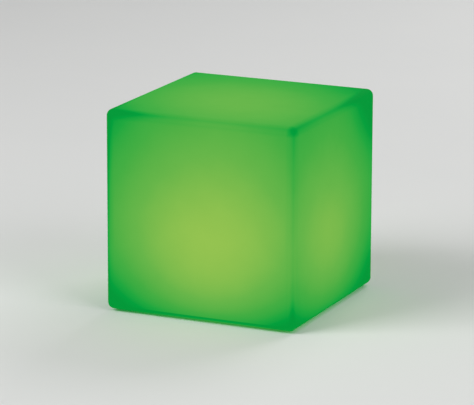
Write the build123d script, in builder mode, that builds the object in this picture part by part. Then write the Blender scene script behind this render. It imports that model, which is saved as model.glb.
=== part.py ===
"""Rechargeable cube light: a moulded shell with a sealed light unit in its underside.

Millimetres. The ground is z = 0, +Z is up and the front of the cube faces -Y.
"""

import os
from math import acos, cos, hypot, sin

from build123d import *

os.makedirs("parts", exist_ok=True)

# Shell: a hollow cube with rounded edges, on four feet
EDGE = 300.0
EDGE_RADIUS = 10.0
INNER_RADIUS_MIN = 1.0
WALL = 4.0
FOOT_STAND = 3.0
FOOT_RADIUS = 11.0
FOOT_INSET = 32.0
FOOT_SEAT = 1.0
FOOT_CHAMFER = 0.8

# Joint between the shell and the light unit
FLANGE_SINK = 0.5
FLANGE_THICKNESS = 5.0
FLANGE_FILLET = 1.0
GASKET_THICKNESS = 1.0
LEDGE_WIDTH = 14.0
UNIT_CLEARANCE = 1.0
POCKET_LIP = 2.0
FLANGE_SCREW_COUNT = 6
FLANGE_SCREW_RADIUS = 1.95
FLANGE_SCREW_LENGTH = 12.0
FLANGE_HEAD_RADIUS = 3.75
FLANGE_HEAD_HEIGHT = 2.4
HEAD_SINK = 0.2
HEAD_CLEARANCE = 0.45
INSERT_RADIUS = 3.0
INSERT_LENGTH = 8.0
INSERT_BOSS_WALL = 3.5
INSERT_BOSS_ROOF = 1.5

# Case of the light unit
FLOOR_THICKNESS = 3.0
TUB_WALL = 4.0
TUB_SPARE = 1.5
POST_COUNT = 4
POST_RADIUS = 3.5
POST_CLEARANCE = 0.6
POST_STUD_RADIUS = 1.5
POST_STUD_LENGTH = 2.0
DOME_SCREW_COUNT = 6
DOME_BOSS_RADIUS = 4.0
DOME_BOSS_REACH = 3.0
DOME_SCREW_RADIUS = 1.45
DOME_SCREW_LENGTH = 9.0
DOME_HEAD_RADIUS = 2.75
DOME_HEAD_HEIGHT = 2.2
DOME_FLANGE = 3.0
DOME_RISE = 15.0
DOME_WALL = 2.0
SEAL_INSET = 0.3

# Cap screws, as shares of the head's height and radius and of the shank's radius
HEAD_CHAMFER = 0.15
SOCKET_DEPTH = 0.6
SOCKET_RADIUS = 0.5
POINT_CHAMFER = 0.25

# Battery: two cells side by side along X
CELL_RADIUS = 9.2
CELL_LENGTH = 65.2
CELL_GAP = 1.0
CELL_PLAY = 0.1
CAP_RADIUS = 3.0
CAP_HEIGHT = 1.2
CONTACT_THICKNESS = 0.5
CONTACT_WIDTH = 10.0
CONTACT_DROP = 5.0
CONTACT_RISE = 7.5
BRIDGE_HEIGHT = 3.0
HOLDER_WALL = 1.6
HOLDER_FLOOR = 1.2
HOLDER_RISE = 2.0
PAD_THICKNESS = 1.0
PAD_MARGIN = 4.0
PACK_Y = 12.0

# Circuit boards
BOARD_THICKNESS = 1.6
BOARD_LENGTH = 44.0
BOARD_WIDTH = 27.0
BOARD_X = -10.0
BOARD_SPACING = 1.5
BOARD_POST_RADIUS = 2.75
BOARD_POST_INSET = 3.5
BOARD_SCREW_RADIUS = 1.2
BOARD_SCREW_LENGTH = 6.0
BOARD_HEAD_RADIUS = 2.2
BOARD_HEAD_HEIGHT = 1.6
TALLEST_PART = 5.0
LED_BOARD_GAP = 2.0
LED_BOARD_MARGIN = 5.0
LED_SCREW_RADIUS = 1.45
LED_SCREW_LENGTH = 7.0
LED_HEAD_RADIUS = 2.75
LED_HEAD_HEIGHT = 2.0
LED_SIZE = 5.0
LED_HEIGHT = 1.6
LED_WINDOW_RADIUS = 2.0
LED_WINDOW_DEPTH = 0.3
OUTER_RING_COUNT = 12
OUTER_RING_RADIUS = 33.0
INNER_RING_COUNT = 6
INNER_RING_RADIUS = 17.0
RECEIVER_LENGTH = 7.0
RECEIVER_WIDTH = 5.5
RECEIVER_HEIGHT = 3.0
RECEIVER_LENS_RADIUS = 2.0
PIN_COUNT = 5
PIN_PITCH = 2.54
PIN_RADIUS = 0.35
PIN_HOLE_RADIUS = 0.45
PIN_TAIL = 1.2
HEADER_WIDTH = 2.5
CONNECTOR_LENGTH = 6.0
CONNECTOR_WIDTH = 4.5
CAPACITOR_RADIUS = 2.5
CAPACITOR_BEVEL = 0.4
CHIP_HEIGHT = 1.4
CONTROLLER_SIZE = 7.0
CHARGER_SIZE = 5.5
COIL_SIZE = 6.0
COIL_HEIGHT = 2.8
PART_GAP = 0.8

# Places on the control board, as shares of its length and width from its middle
CONTROLLER_SPOT = (-0.25, 0.04)
CHARGER_SPOT = (-0.2, -0.33)
COIL_SPOT = (0.2, -0.33)
CAPACITOR_SPOTS = ((-0.02, 0.3), (-0.02, -0.3))

# Power button
BUTTON_RADIUS = 8.0
BUTTON_TRAVEL = 1.5
BUTTON_SINK = 0.4
BUTTON_SKIN = 2.5
BUTTON_BORE = 5.3
BUTTON_DIMPLE = 0.5
BUTTON_RIM = 1.6
BUTTON_SLIDE = 0.1
BUTTON_OFFSET = -5.0
DISH_DEPTH = 1.2
DISH_MARGIN = 5.0
COLLAR_WALL = 4.0
COLLAR_HEIGHT = 4.5
STOP_LIP = 1.6
STOP_THICKNESS = 1.2
REST_GAP = 0.1
STEM_RADIUS = 2.5
STEM_RISE = 0.6
RING_SECTION = 0.58
GROOVE_WIDTH = 1.6
GROOVE_DEPTH = 1.2
GROOVE_LIFT = 0.4
SWITCH_SIZE = 8.5
SWITCH_HEIGHT = 5.5
SWITCH_SPARE = 0.5
PLUNGER_RADIUS = 1.75
PLUNGER_REACH = 2.0
INDICATOR_OFFSET = 6.0
INDICATOR_RADIUS = 1.5
INDICATOR_LIP = 1.0
INDICATOR_LED_LENGTH = 2.0
INDICATOR_LED_WIDTH = 1.6
INDICATOR_LED_HEIGHT = 0.8

# Charging port and its captive plug
PORT_SPACING = 15.0
PORT_MARGIN = 1.5
PORT_WALL = 3.0
PLUG_RADIUS = 8.5
PLUG_THICKNESS = 1.5
PLUG_SINK = 0.4
PLUG_GAP = 0.3
PLUG_STUB_HEIGHT = 2.2
PLUG_STUB_WALL = 1.15
PLUG_STUB_CLEARANCE = 0.45
STRAP_WIDTH = 5.0
STRAP_THICKNESS = 1.2
STRAP_REACH = 2.5
HINGE_GAP = 0.3
ANCHOR_REACH = 3.6
ANCHOR_RADIUS = 2.6
ANCHOR_STEM_RADIUS = 1.5
ANCHOR_BARB = 0.6
ANCHOR_BARB_HEIGHT = 1.4
ANCHOR_BARB_TAPER = 25.0
NAIL_NOTCH_RADIUS = 4.5
NAIL_NOTCH_DEPTH = 1.5
JACK_RADIUS = 5.5
JACK_BEZEL_RADIUS = 7.0
JACK_BEZEL = 1.4
JACK_SEAL = 0.8
JACK_BODY_RISE = 5.0
JACK_BORE_RADIUS = 3.2
JACK_BACK = 2.5
JACK_PIN_RADIUS = 1.0
JACK_PIN_SINK = 1.6
JACK_TAIL = 3.7
JACK_TAB_WIDTH = 2.0
JACK_TAB_THICKNESS = 0.8
JACK_NUT_HEIGHT = 2.5
JACK_NUT_RADIUS = 8.0

# Leads and shared clearances
LEAD_RADIUS = 0.7
LEAD_BEND = 2.0
LEAD_HEIGHT = 3.2
LEAD_PITCH = 1.6
LEAD_TAB = 1.5
LEAD_JOG_START = 5.0
LEAD_JOG_END = 9.0
LEAD_SLANT = 4.0
FIT = 0.05
HOLE_CLEARANCE = 0.25

# Layout of the light unit, seen from above
cell_pitch = 2 * CELL_RADIUS + CELL_GAP
holder_half_length = CELL_LENGTH / 2 + CELL_PLAY + CONTACT_THICKNESS + HOLDER_WALL
holder_half_width = cell_pitch / 2 + CELL_RADIUS + CELL_PLAY + HOLDER_WALL
holder_back = PACK_Y + holder_half_width
board_back = PACK_Y - holder_half_width - BOARD_SPACING
board_y = board_back - BOARD_WIDTH / 2
board_front = board_back - BOARD_WIDTH
board_left = BOARD_X - BOARD_LENGTH / 2
board_right = BOARD_X + BOARD_LENGTH / 2
port_x = board_right + PORT_SPACING
port_radius = PLUG_RADIUS + PORT_MARGIN
hinge_x = port_x - PLUG_RADIUS - STRAP_REACH
anchor_x = hinge_x - ANCHOR_REACH
port_span = port_x - anchor_x
port_middle = (port_x + anchor_x) / 2
led_post_circle = max(holder_half_length, holder_back, -board_front) + POST_CLEARANCE + POST_RADIUS
led_board_radius = led_post_circle + LED_BOARD_MARGIN
tub_radius = TUB_SPARE + max(
    hypot(holder_half_length, holder_back),
    hypot(board_left, board_front),
    hypot(port_x, board_y) + port_radius + PORT_WALL,
    led_board_radius,
)
tub_outer = tub_radius + TUB_WALL
dome_screw_circle = tub_outer + DOME_BOSS_REACH
unit_radius = dome_screw_circle + DOME_BOSS_RADIUS
opening_radius = unit_radius + UNIT_CLEARANCE
pocket_radius = opening_radius + LEDGE_WIDTH
flange_radius = pocket_radius - UNIT_CLEARANCE
flange_screw_circle = opening_radius + LEDGE_WIDTH / 2

# Levels above the ground
shell_bottom = FOOT_STAND
unit_bottom = shell_bottom + FLANGE_SINK
flange_top = unit_bottom + FLANGE_THICKNESS
ledge_under = flange_top + GASKET_THICKNESS
ledge_top = ledge_under + WALL
flange_head_seat = unit_bottom + HEAD_SINK + FLANGE_HEAD_HEIGHT
insert_boss_top = ledge_under + INSERT_LENGTH + INSERT_BOSS_WALL
floor_top = unit_bottom + FLOOR_THICKNESS
holder_under = floor_top + PAD_THICKNESS
cell_axis = holder_under + HOLDER_FLOOR + CELL_RADIUS + CELL_PLAY
holder_top = cell_axis + HOLDER_RISE
button_face = unit_bottom + BUTTON_SINK
collar_top = floor_top + COLLAR_HEIGHT
stop_under = collar_top + REST_GAP
stop_top = stop_under + STOP_THICKNESS
stem_top = stop_top + STEM_RISE
switch_under = stem_top + BUTTON_TRAVEL + SWITCH_SPARE
board_under = switch_under + SWITCH_HEIGHT
board_top = board_under + BOARD_THICKNESS
led_board_under = LED_BOARD_GAP + max(cell_axis + CELL_RADIUS, board_top + TALLEST_PART)
led_board_top = led_board_under + BOARD_THICKNESS
rim_top = led_board_under
dome_seat = rim_top + GASKET_THICKNESS
dome_flange_top = dome_seat + DOME_FLANGE
dome_top = dome_flange_top + DOME_RISE
plug_under = unit_bottom + PLUG_SINK
plug_top = plug_under + PLUG_THICKNESS
hinge_z = plug_under + STRAP_THICKNESS / 2
bezel_under = plug_top + PLUG_GAP
bezel_top = bezel_under + JACK_BEZEL
port_roof = bezel_top + JACK_SEAL
port_top = port_roof + FLOOR_THICKNESS
jack_top = port_top + JACK_NUT_HEIGHT + JACK_BODY_RISE
jack_tail_top = jack_top + JACK_TAIL
lead_z = board_top + LEAD_HEIGHT

# Places that more than one piece shares
UP = (Align.CENTER, Align.CENTER, Align.MIN)
DOWN = (Align.CENTER, Align.CENTER, Align.MAX)
button_x = BOARD_X + BUTTON_OFFSET
button_at = (button_x, board_y)
port_at = (port_x, board_y)
indicator_at = (BOARD_X + INDICATOR_OFFSET, board_back - INDICATOR_RADIUS - INDICATOR_LIP)
jack_connector_x = board_right - PART_GAP - CONNECTOR_WIDTH / 2
jack_connector_at = (jack_connector_x, board_y - CONNECTOR_LENGTH / 2 - PART_GAP)
header_length = PIN_COUNT * PIN_PITCH
header_x = jack_connector_x - CONNECTOR_WIDTH / 2 - PART_GAP - header_length / 2
header_at = (header_x, -(INNER_RING_RADIUS + OUTER_RING_RADIUS) / 2)
battery_connector_at = (header_x, board_back - PART_GAP - CONNECTOR_WIDTH)
cell_rows = (PACK_Y - cell_pitch / 2, PACK_Y + cell_pitch / 2)
foot_span = EDGE - 2 * FOOT_INSET
board_post_span_x = BOARD_LENGTH - 2 * BOARD_POST_INSET
board_post_span_y = BOARD_WIDTH - 2 * BOARD_POST_INSET


def board_spot(along, across):
    """A place on the control board, as shares of its length and width from its middle."""
    return (BOARD_X + along * BOARD_LENGTH, board_y + across * BOARD_WIDTH)


def socket_screw(head_radius, head_height, shank_radius, shank_length):
    """A cap screw with a hexagon socket: head above z = 0, shank below it."""
    with BuildPart() as screw:
        Cylinder(head_radius, head_height, align=UP)
        chamfer(screw.edges().group_by(Axis.Z)[-1], head_height * HEAD_CHAMFER)
        Cylinder(shank_radius, shank_length, align=DOWN)
        chamfer(screw.edges().group_by(Axis.Z)[0], shank_radius * POINT_CHAMFER)
        with BuildSketch(Plane.XY.offset(head_height)):
            RegularPolygon(head_radius * SOCKET_RADIUS, 6)
        extrude(amount=-head_height * SOCKET_DEPTH, mode=Mode.SUBTRACT)
    return screw.part


def lead(points, bends):
    """A round insulated lead along straight runs and tangent arcs."""
    with BuildPart() as wire:
        with BuildLine() as path:
            FilletPolyline(*points, radius=bends)
        with BuildSketch(Plane(path.line @ 0, z_dir=path.line % 0)):
            Circle(LEAD_RADIUS)
        sweep()
    return wire.part


# Shell, moulded in one piece: the cavity is the outside less the wall, and it runs round the
# well that takes the light unit
with BuildPart() as cavity:
    with Locations((0, 0, shell_bottom + WALL)):
        Box(EDGE - 2 * WALL, EDGE - 2 * WALL, EDGE - 2 * WALL, align=UP)
    fillet(cavity.edges(), max(EDGE_RADIUS - WALL, INNER_RADIUS_MIN))
    with Locations((0, 0, shell_bottom)):
        Cylinder(pocket_radius + WALL, ledge_top - shell_bottom, align=UP, mode=Mode.SUBTRACT)

with BuildPart() as shell:
    with Locations((0, 0, shell_bottom)):
        Box(EDGE, EDGE, EDGE, align=UP)
    fillet(shell.edges(), EDGE_RADIUS)
    add(cavity.part, mode=Mode.SUBTRACT)
    with BuildSketch(Plane.XY.offset(ledge_top)):
        with PolarLocations(flange_screw_circle, FLANGE_SCREW_COUNT):
            Circle(INSERT_RADIUS + INSERT_BOSS_WALL)
    extrude(amount=insert_boss_top - ledge_top)
    with BuildSketch(Plane.XY.offset(shell_bottom)):
        Circle(pocket_radius)
    extrude(amount=ledge_under - shell_bottom, mode=Mode.SUBTRACT)
    with BuildSketch(Plane.XY.offset(ledge_under)):
        Circle(opening_radius)
        with PolarLocations(flange_screw_circle, FLANGE_SCREW_COUNT):
            Circle(INSERT_RADIUS + FIT)
    extrude(amount=INSERT_LENGTH + FIT, mode=Mode.SUBTRACT)
    with BuildSketch(Plane.XY.offset(ledge_under)):
        with PolarLocations(flange_screw_circle, FLANGE_SCREW_COUNT):
            Circle(FLANGE_SCREW_RADIUS + FIT)
    extrude(amount=INSERT_LENGTH + INSERT_BOSS_WALL - INSERT_BOSS_ROOF, mode=Mode.SUBTRACT)
    with BuildSketch(Plane.XY.offset(ledge_under)):
        Circle(opening_radius)
    extrude(amount=insert_boss_top - ledge_under, mode=Mode.SUBTRACT)
    with BuildSketch(Plane.XY.offset(shell_bottom)):
        with GridLocations(foot_span, foot_span, 2, 2):
            Circle(FOOT_RADIUS + FIT)
    extrude(amount=FOOT_SEAT, mode=Mode.SUBTRACT)
    mouth = shell.edges().filter_by(GeomType.CIRCLE).group_by(Axis.Z)[0].sort_by(SortBy.RADIUS)[-1]
    fillet(mouth, POCKET_LIP)
shell.part.label = "shell"
export_step(shell.part, "parts/shell.step")

with BuildPart() as rubber_feet:
    with GridLocations(foot_span, foot_span, 2, 2):
        Cylinder(FOOT_RADIUS, FOOT_STAND + FOOT_SEAT, align=UP)
    chamfer(rubber_feet.edges().group_by(Axis.Z)[0], FOOT_CHAMFER)
rubber_feet.part.label = "rubber_feet"
export_step(rubber_feet.part, "parts/rubber_feet.step")

with BuildPart(Plane.XY.offset(ledge_under)) as threaded_inserts:
    with PolarLocations(flange_screw_circle, FLANGE_SCREW_COUNT):
        Cylinder(INSERT_RADIUS, INSERT_LENGTH, align=UP)
        Cylinder(FLANGE_SCREW_RADIUS + FIT, INSERT_LENGTH, align=UP, mode=Mode.SUBTRACT)
threaded_inserts.part.label = "threaded_inserts"
export_step(threaded_inserts.part, "parts/threaded_inserts.step")

with BuildPart() as flange_gasket:
    with BuildSketch(Plane.XY.offset(flange_top)):
        Circle(flange_radius - SEAL_INSET)
        Circle(opening_radius + SEAL_INSET, mode=Mode.SUBTRACT)
        with PolarLocations(flange_screw_circle, FLANGE_SCREW_COUNT):
            Circle(INSERT_RADIUS, mode=Mode.SUBTRACT)
    extrude(amount=GASKET_THICKNESS)
flange_gasket.part.label = "flange_gasket"
export_step(flange_gasket.part, "parts/flange_gasket.step")

flange_screw = socket_screw(
    FLANGE_HEAD_RADIUS, FLANGE_HEAD_HEIGHT, FLANGE_SCREW_RADIUS, FLANGE_SCREW_LENGTH
)
with BuildPart(Plane.XY.offset(flange_head_seat)) as flange_screws:
    with PolarLocations(flange_screw_circle, FLANGE_SCREW_COUNT):
        add(flange_screw, rotation=(180, 0, 0))
flange_screws.part.label = "flange_screws"
export_step(flange_screws.part, "parts/flange_screws.step")

# Base plate: flange and floor in one moulding, with the board posts and collars on its floor
with BuildPart() as base_plate:
    with BuildSketch(Plane.XZ):
        with BuildLine():
            Polyline(
                (0, unit_bottom),
                (flange_radius, unit_bottom),
                (flange_radius, flange_top),
                (tub_radius, flange_top),
                (tub_radius, floor_top),
                (0, floor_top),
                close=True,
            )
        make_face()
    revolve(axis=Axis.Z)
    fillet(base_plate.edges().filter_by(GeomType.CIRCLE).group_by(Axis.Z)[0], FLANGE_FILLET)
    with BuildSketch(Plane.XY.offset(floor_top)):
        with PolarLocations(led_post_circle, POST_COUNT):
            Circle(POST_STUD_RADIUS + FIT)
    extrude(amount=-POST_STUD_LENGTH - FIT, mode=Mode.SUBTRACT)
    with BuildSketch(Plane.XY.offset(floor_top)):
        with Locations((BOARD_X, board_y)):
            with GridLocations(board_post_span_x, board_post_span_y, 2, 2):
                Circle(BOARD_POST_RADIUS)
    extrude(amount=board_under - floor_top)
    with BuildSketch(Plane.XY.offset(floor_top)):
        with Locations(button_at):
            Circle(BUTTON_RADIUS + COLLAR_WALL)
    extrude(amount=collar_top - floor_top)
    with BuildSketch(Plane.XY.offset(floor_top)):
        with Locations((port_middle, board_y)):
            SlotCenterToCenter(port_span, 2 * (port_radius + PORT_WALL))
    extrude(amount=port_top - floor_top)
    with BuildSketch(Plane.XY.offset(unit_bottom)):
        with Locations(button_at):
            Circle(BUTTON_RADIUS + DISH_MARGIN)
    extrude(amount=DISH_DEPTH, mode=Mode.SUBTRACT)
    with BuildSketch(Plane.XY.offset(unit_bottom)):
        with Locations(button_at):
            Circle(BUTTON_RADIUS + BUTTON_SLIDE)
    extrude(amount=collar_top - unit_bottom, mode=Mode.SUBTRACT)
    with BuildSketch(Plane.XY.offset(unit_bottom)):
        with Locations((port_middle, board_y)):
            SlotCenterToCenter(port_span, 2 * port_radius)
    extrude(amount=port_roof - unit_bottom, mode=Mode.SUBTRACT)
    with BuildSketch(Plane.XY.offset(unit_bottom)):
        with Locations((port_x + port_radius, board_y)):
            Circle(NAIL_NOTCH_RADIUS)
    extrude(amount=NAIL_NOTCH_DEPTH, mode=Mode.SUBTRACT)
    with BuildSketch(Plane.XY.offset(port_roof)):
        with Locations(port_at):
            Circle(JACK_RADIUS + FIT)
        with Locations((anchor_x, board_y)):
            Circle(ANCHOR_STEM_RADIUS + FIT)
    extrude(amount=port_top - port_roof, mode=Mode.SUBTRACT)
    with BuildSketch(Plane.XY.offset(unit_bottom)):
        with Locations(indicator_at):
            Circle(INDICATOR_RADIUS + FIT)
    extrude(amount=FLOOR_THICKNESS, mode=Mode.SUBTRACT)
    with BuildSketch(Plane.XY.offset(unit_bottom)):
        with PolarLocations(flange_screw_circle, FLANGE_SCREW_COUNT):
            Circle(FLANGE_SCREW_RADIUS + HOLE_CLEARANCE)
    extrude(amount=FLANGE_THICKNESS, mode=Mode.SUBTRACT)
    with BuildSketch(Plane.XY.offset(unit_bottom)):
        with PolarLocations(flange_screw_circle, FLANGE_SCREW_COUNT):
            Circle(FLANGE_HEAD_RADIUS + HEAD_CLEARANCE)
    extrude(amount=flange_head_seat - unit_bottom, mode=Mode.SUBTRACT)
    with BuildSketch(Plane.XY.offset(board_under)):
        with Locations((BOARD_X, board_y)):
            with GridLocations(board_post_span_x, board_post_span_y, 2, 2):
                Circle(BOARD_SCREW_RADIUS + FIT)
    extrude(amount=-BOARD_SCREW_LENGTH, mode=Mode.SUBTRACT)
base_plate.part.label = "base_plate"
export_step(base_plate.part, "parts/base_plate.step")

# Wall of the case, welded to the plate, with the bosses that take the dome's screws
with BuildPart() as housing_wall:
    with BuildSketch(Plane.XY.offset(flange_top)):
        Circle(tub_outer)
        with PolarLocations(dome_screw_circle, DOME_SCREW_COUNT):
            Circle(DOME_BOSS_RADIUS)
        Circle(tub_radius, mode=Mode.SUBTRACT)
    extrude(amount=rim_top - flange_top)
    with BuildSketch(Plane.XY.offset(rim_top)):
        with PolarLocations(dome_screw_circle, DOME_SCREW_COUNT):
            Circle(DOME_BOSS_RADIUS)
        Circle(tub_outer - TUB_WALL / 2, mode=Mode.SUBTRACT)
    extrude(amount=GASKET_THICKNESS)
    with BuildSketch(Plane.XY.offset(dome_seat)):
        with PolarLocations(dome_screw_circle, DOME_SCREW_COUNT):
            Circle(DOME_SCREW_RADIUS + FIT)
    extrude(amount=-DOME_SCREW_LENGTH, mode=Mode.SUBTRACT)
housing_wall.part.label = "housing_wall"
export_step(housing_wall.part, "parts/housing_wall.step")

with BuildPart() as led_standoffs:
    with BuildSketch(Plane.XY.offset(floor_top)):
        with PolarLocations(led_post_circle, POST_COUNT):
            RegularPolygon(POST_RADIUS, 6)
    extrude(amount=led_board_under - floor_top)
    with BuildSketch(Plane.XY.offset(floor_top)):
        with PolarLocations(led_post_circle, POST_COUNT):
            Circle(POST_STUD_RADIUS)
    extrude(amount=-POST_STUD_LENGTH)
    with BuildSketch(Plane.XY.offset(led_board_under)):
        with PolarLocations(led_post_circle, POST_COUNT):
            Circle(LED_SCREW_RADIUS + FIT)
    extrude(amount=-LED_SCREW_LENGTH, mode=Mode.SUBTRACT)
led_standoffs.part.label = "led_standoffs"
export_step(led_standoffs.part, "parts/led_standoffs.step")

with BuildPart() as dome_gasket:
    with BuildSketch(Plane.XY.offset(rim_top)):
        Circle(tub_outer - TUB_WALL / 2 - SEAL_INSET)
        Circle(tub_radius + SEAL_INSET, mode=Mode.SUBTRACT)
    extrude(amount=GASKET_THICKNESS)
dome_gasket.part.label = "dome_gasket"
export_step(dome_gasket.part, "parts/dome_gasket.step")

# Diffuser dome: a thin spherical cap on a screwed flange
cap_radius = tub_radius + TUB_WALL / 4
ball_radius = (cap_radius**2 + DOME_RISE**2) / (2 * DOME_RISE)
ball_z = dome_top - ball_radius
inner_ball = ball_radius - DOME_WALL
cap_angle = acos((dome_flange_top - ball_z) / ball_radius) / 2
inner_angle = acos((dome_flange_top - ball_z) / inner_ball) / 2
cap_inner_radius = inner_ball * sin(2 * inner_angle)
with BuildPart() as diffuser_dome:
    with BuildSketch(Plane.XZ):
        with BuildLine():
            Polyline(
                (cap_inner_radius, dome_flange_top),
                (cap_inner_radius, dome_seat),
                (unit_radius, dome_seat),
                (unit_radius, dome_flange_top),
                (cap_radius, dome_flange_top),
            )
            ThreePointArc(
                (cap_radius, dome_flange_top),
                (ball_radius * sin(cap_angle), ball_z + ball_radius * cos(cap_angle)),
                (0, dome_top),
            )
            Line((0, dome_top), (0, dome_top - DOME_WALL))
            ThreePointArc(
                (0, dome_top - DOME_WALL),
                (inner_ball * sin(inner_angle), ball_z + inner_ball * cos(inner_angle)),
                (cap_inner_radius, dome_flange_top),
            )
        make_face()
    revolve(axis=Axis.Z)
    with BuildSketch(Plane.XY.offset(dome_seat)):
        with PolarLocations(dome_screw_circle, DOME_SCREW_COUNT):
            Circle(DOME_SCREW_RADIUS + HOLE_CLEARANCE)
    extrude(amount=DOME_FLANGE, mode=Mode.SUBTRACT)
diffuser_dome.part.label = "diffuser_dome"
export_step(diffuser_dome.part, "parts/diffuser_dome.step")

dome_screw = socket_screw(DOME_HEAD_RADIUS, DOME_HEAD_HEIGHT, DOME_SCREW_RADIUS, DOME_SCREW_LENGTH)
with BuildPart(Plane.XY.offset(dome_flange_top)) as dome_screws:
    with PolarLocations(dome_screw_circle, DOME_SCREW_COUNT):
        add(dome_screw)
dome_screws.part.label = "dome_screws"
export_step(dome_screws.part, "parts/dome_screws.step")

# LED board and what sits on it
with BuildPart() as led_board:
    with BuildSketch(Plane.XY.offset(led_board_under)):
        Circle(led_board_radius)
        with PolarLocations(led_post_circle, POST_COUNT):
            Circle(LED_SCREW_RADIUS + HOLE_CLEARANCE, mode=Mode.SUBTRACT)
        with Locations(header_at):
            with GridLocations(PIN_PITCH, PIN_PITCH, PIN_COUNT, 1):
                Circle(PIN_HOLE_RADIUS, mode=Mode.SUBTRACT)
    extrude(amount=BOARD_THICKNESS)
led_board.part.label = "led_board"
export_step(led_board.part, "parts/led_board.step")

with BuildPart(Plane.XY.offset(led_board_top)) as leds:
    for ring_radius, ring_count in (
        (OUTER_RING_RADIUS, OUTER_RING_COUNT),
        (INNER_RING_RADIUS, INNER_RING_COUNT),
    ):
        with PolarLocations(ring_radius, ring_count, start_angle=180 / ring_count):
            Box(LED_SIZE, LED_SIZE, LED_HEIGHT, align=UP)
            with Locations((0, 0, LED_HEIGHT)):
                Cylinder(LED_WINDOW_RADIUS, LED_WINDOW_DEPTH, align=DOWN, mode=Mode.SUBTRACT)
leds.part.label = "leds"
export_step(leds.part, "parts/leds.step")

with BuildPart(Plane.XY.offset(led_board_top)) as remote_receiver:
    Box(RECEIVER_LENGTH, RECEIVER_WIDTH, RECEIVER_HEIGHT, align=UP)
    with Locations((0, 0, RECEIVER_HEIGHT)):
        Sphere(RECEIVER_LENS_RADIUS)
remote_receiver.part.label = "remote_receiver"
export_step(remote_receiver.part, "parts/remote_receiver.step")

led_board_screw = socket_screw(
    LED_HEAD_RADIUS, LED_HEAD_HEIGHT, LED_SCREW_RADIUS, LED_SCREW_LENGTH
)
with BuildPart(Plane.XY.offset(led_board_top)) as led_board_screws:
    with PolarLocations(led_post_circle, POST_COUNT):
        add(led_board_screw)
led_board_screws.part.label = "led_board_screws"
export_step(led_board_screws.part, "parts/led_board_screws.step")

# Control board and what sits on it
with BuildPart() as control_board:
    with BuildSketch(Plane.XY.offset(board_under)):
        with Locations((BOARD_X, board_y)):
            Rectangle(BOARD_LENGTH, BOARD_WIDTH)
            with GridLocations(board_post_span_x, board_post_span_y, 2, 2):
                Circle(BOARD_SCREW_RADIUS + HOLE_CLEARANCE, mode=Mode.SUBTRACT)
        with Locations(header_at):
            with GridLocations(PIN_PITCH, PIN_PITCH, PIN_COUNT, 1):
                Circle(PIN_HOLE_RADIUS, mode=Mode.SUBTRACT)
    extrude(amount=BOARD_THICKNESS)
control_board.part.label = "control_board"
export_step(control_board.part, "parts/control_board.step")

board_screw = socket_screw(
    BOARD_HEAD_RADIUS, BOARD_HEAD_HEIGHT, BOARD_SCREW_RADIUS, BOARD_SCREW_LENGTH
)
with BuildPart(Plane.XY.offset(board_top)) as control_board_screws:
    with Locations((BOARD_X, board_y)):
        with GridLocations(board_post_span_x, board_post_span_y, 2, 2):
            add(board_screw)
control_board_screws.part.label = "control_board_screws"
export_step(control_board_screws.part, "parts/control_board_screws.step")

with BuildPart(Plane.XY.offset(board_top)) as driver_chips:
    with Locations(board_spot(*CONTROLLER_SPOT)):
        Box(CONTROLLER_SIZE, CONTROLLER_SIZE, CHIP_HEIGHT, align=UP)
    with Locations(board_spot(*CHARGER_SPOT)):
        Box(CHARGER_SIZE, CHARGER_SIZE, CHIP_HEIGHT, align=UP)
    with Locations(board_spot(*COIL_SPOT)):
        Box(COIL_SIZE, COIL_SIZE, COIL_HEIGHT, align=UP)
driver_chips.part.label = "driver_chips"
export_step(driver_chips.part, "parts/driver_chips.step")

with BuildPart(Plane.XY.offset(board_top)) as capacitors:
    with Locations(*(board_spot(*spot) for spot in CAPACITOR_SPOTS)):
        Cylinder(CAPACITOR_RADIUS, TALLEST_PART, align=UP)
    chamfer(capacitors.edges().group_by(Axis.Z)[-1], CAPACITOR_BEVEL)
capacitors.part.label = "capacitors"
export_step(capacitors.part, "parts/capacitors.step")

with BuildPart(Plane.XY.offset(board_top)) as wire_connectors:
    with Locations(battery_connector_at):
        Box(CONNECTOR_LENGTH, CONNECTOR_WIDTH, TALLEST_PART, align=UP)
    with Locations(jack_connector_at):
        Box(CONNECTOR_WIDTH, CONNECTOR_LENGTH, TALLEST_PART, align=UP)
wire_connectors.part.label = "wire_connectors"
export_step(wire_connectors.part, "parts/wire_connectors.step")

with BuildPart() as link_header:
    with BuildSketch(Plane.XY.offset(board_top)):
        with Locations(header_at):
            Rectangle(header_length, HEADER_WIDTH)
            with GridLocations(PIN_PITCH, PIN_PITCH, PIN_COUNT, 1):
                Circle(PIN_RADIUS + FIT, mode=Mode.SUBTRACT)
    extrude(amount=led_board_under - board_top)
link_header.part.label = "link_header"
export_step(link_header.part, "parts/link_header.step")

with BuildPart() as link_pins:
    with BuildSketch(Plane.XY.offset(board_under - PIN_TAIL)):
        with Locations(header_at):
            with GridLocations(PIN_PITCH, PIN_PITCH, PIN_COUNT, 1):
                Circle(PIN_RADIUS)
    extrude(amount=led_board_top - board_under + 2 * PIN_TAIL)
link_pins.part.label = "link_pins"
export_step(link_pins.part, "parts/link_pins.step")

with BuildPart(Plane.XY.offset(board_under)) as indicator_led:
    with Locations(indicator_at):
        Box(INDICATOR_LED_LENGTH, INDICATOR_LED_WIDTH, INDICATOR_LED_HEIGHT, align=DOWN)
indicator_led.part.label = "indicator_led"
export_step(indicator_led.part, "parts/indicator_led.step")

with BuildPart() as indicator_lens:
    with BuildSketch(Plane.XY.offset(unit_bottom)):
        with Locations(indicator_at):
            Circle(INDICATOR_RADIUS)
    extrude(amount=board_under - INDICATOR_LED_HEIGHT - REST_GAP - unit_bottom)
    with BuildSketch(Plane.XY.offset(floor_top)):
        with Locations(indicator_at):
            Circle(INDICATOR_RADIUS + INDICATOR_LIP)
    extrude(amount=INDICATOR_LIP)
indicator_lens.part.label = "indicator_lens"
export_step(indicator_lens.part, "parts/indicator_lens.step")

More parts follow.
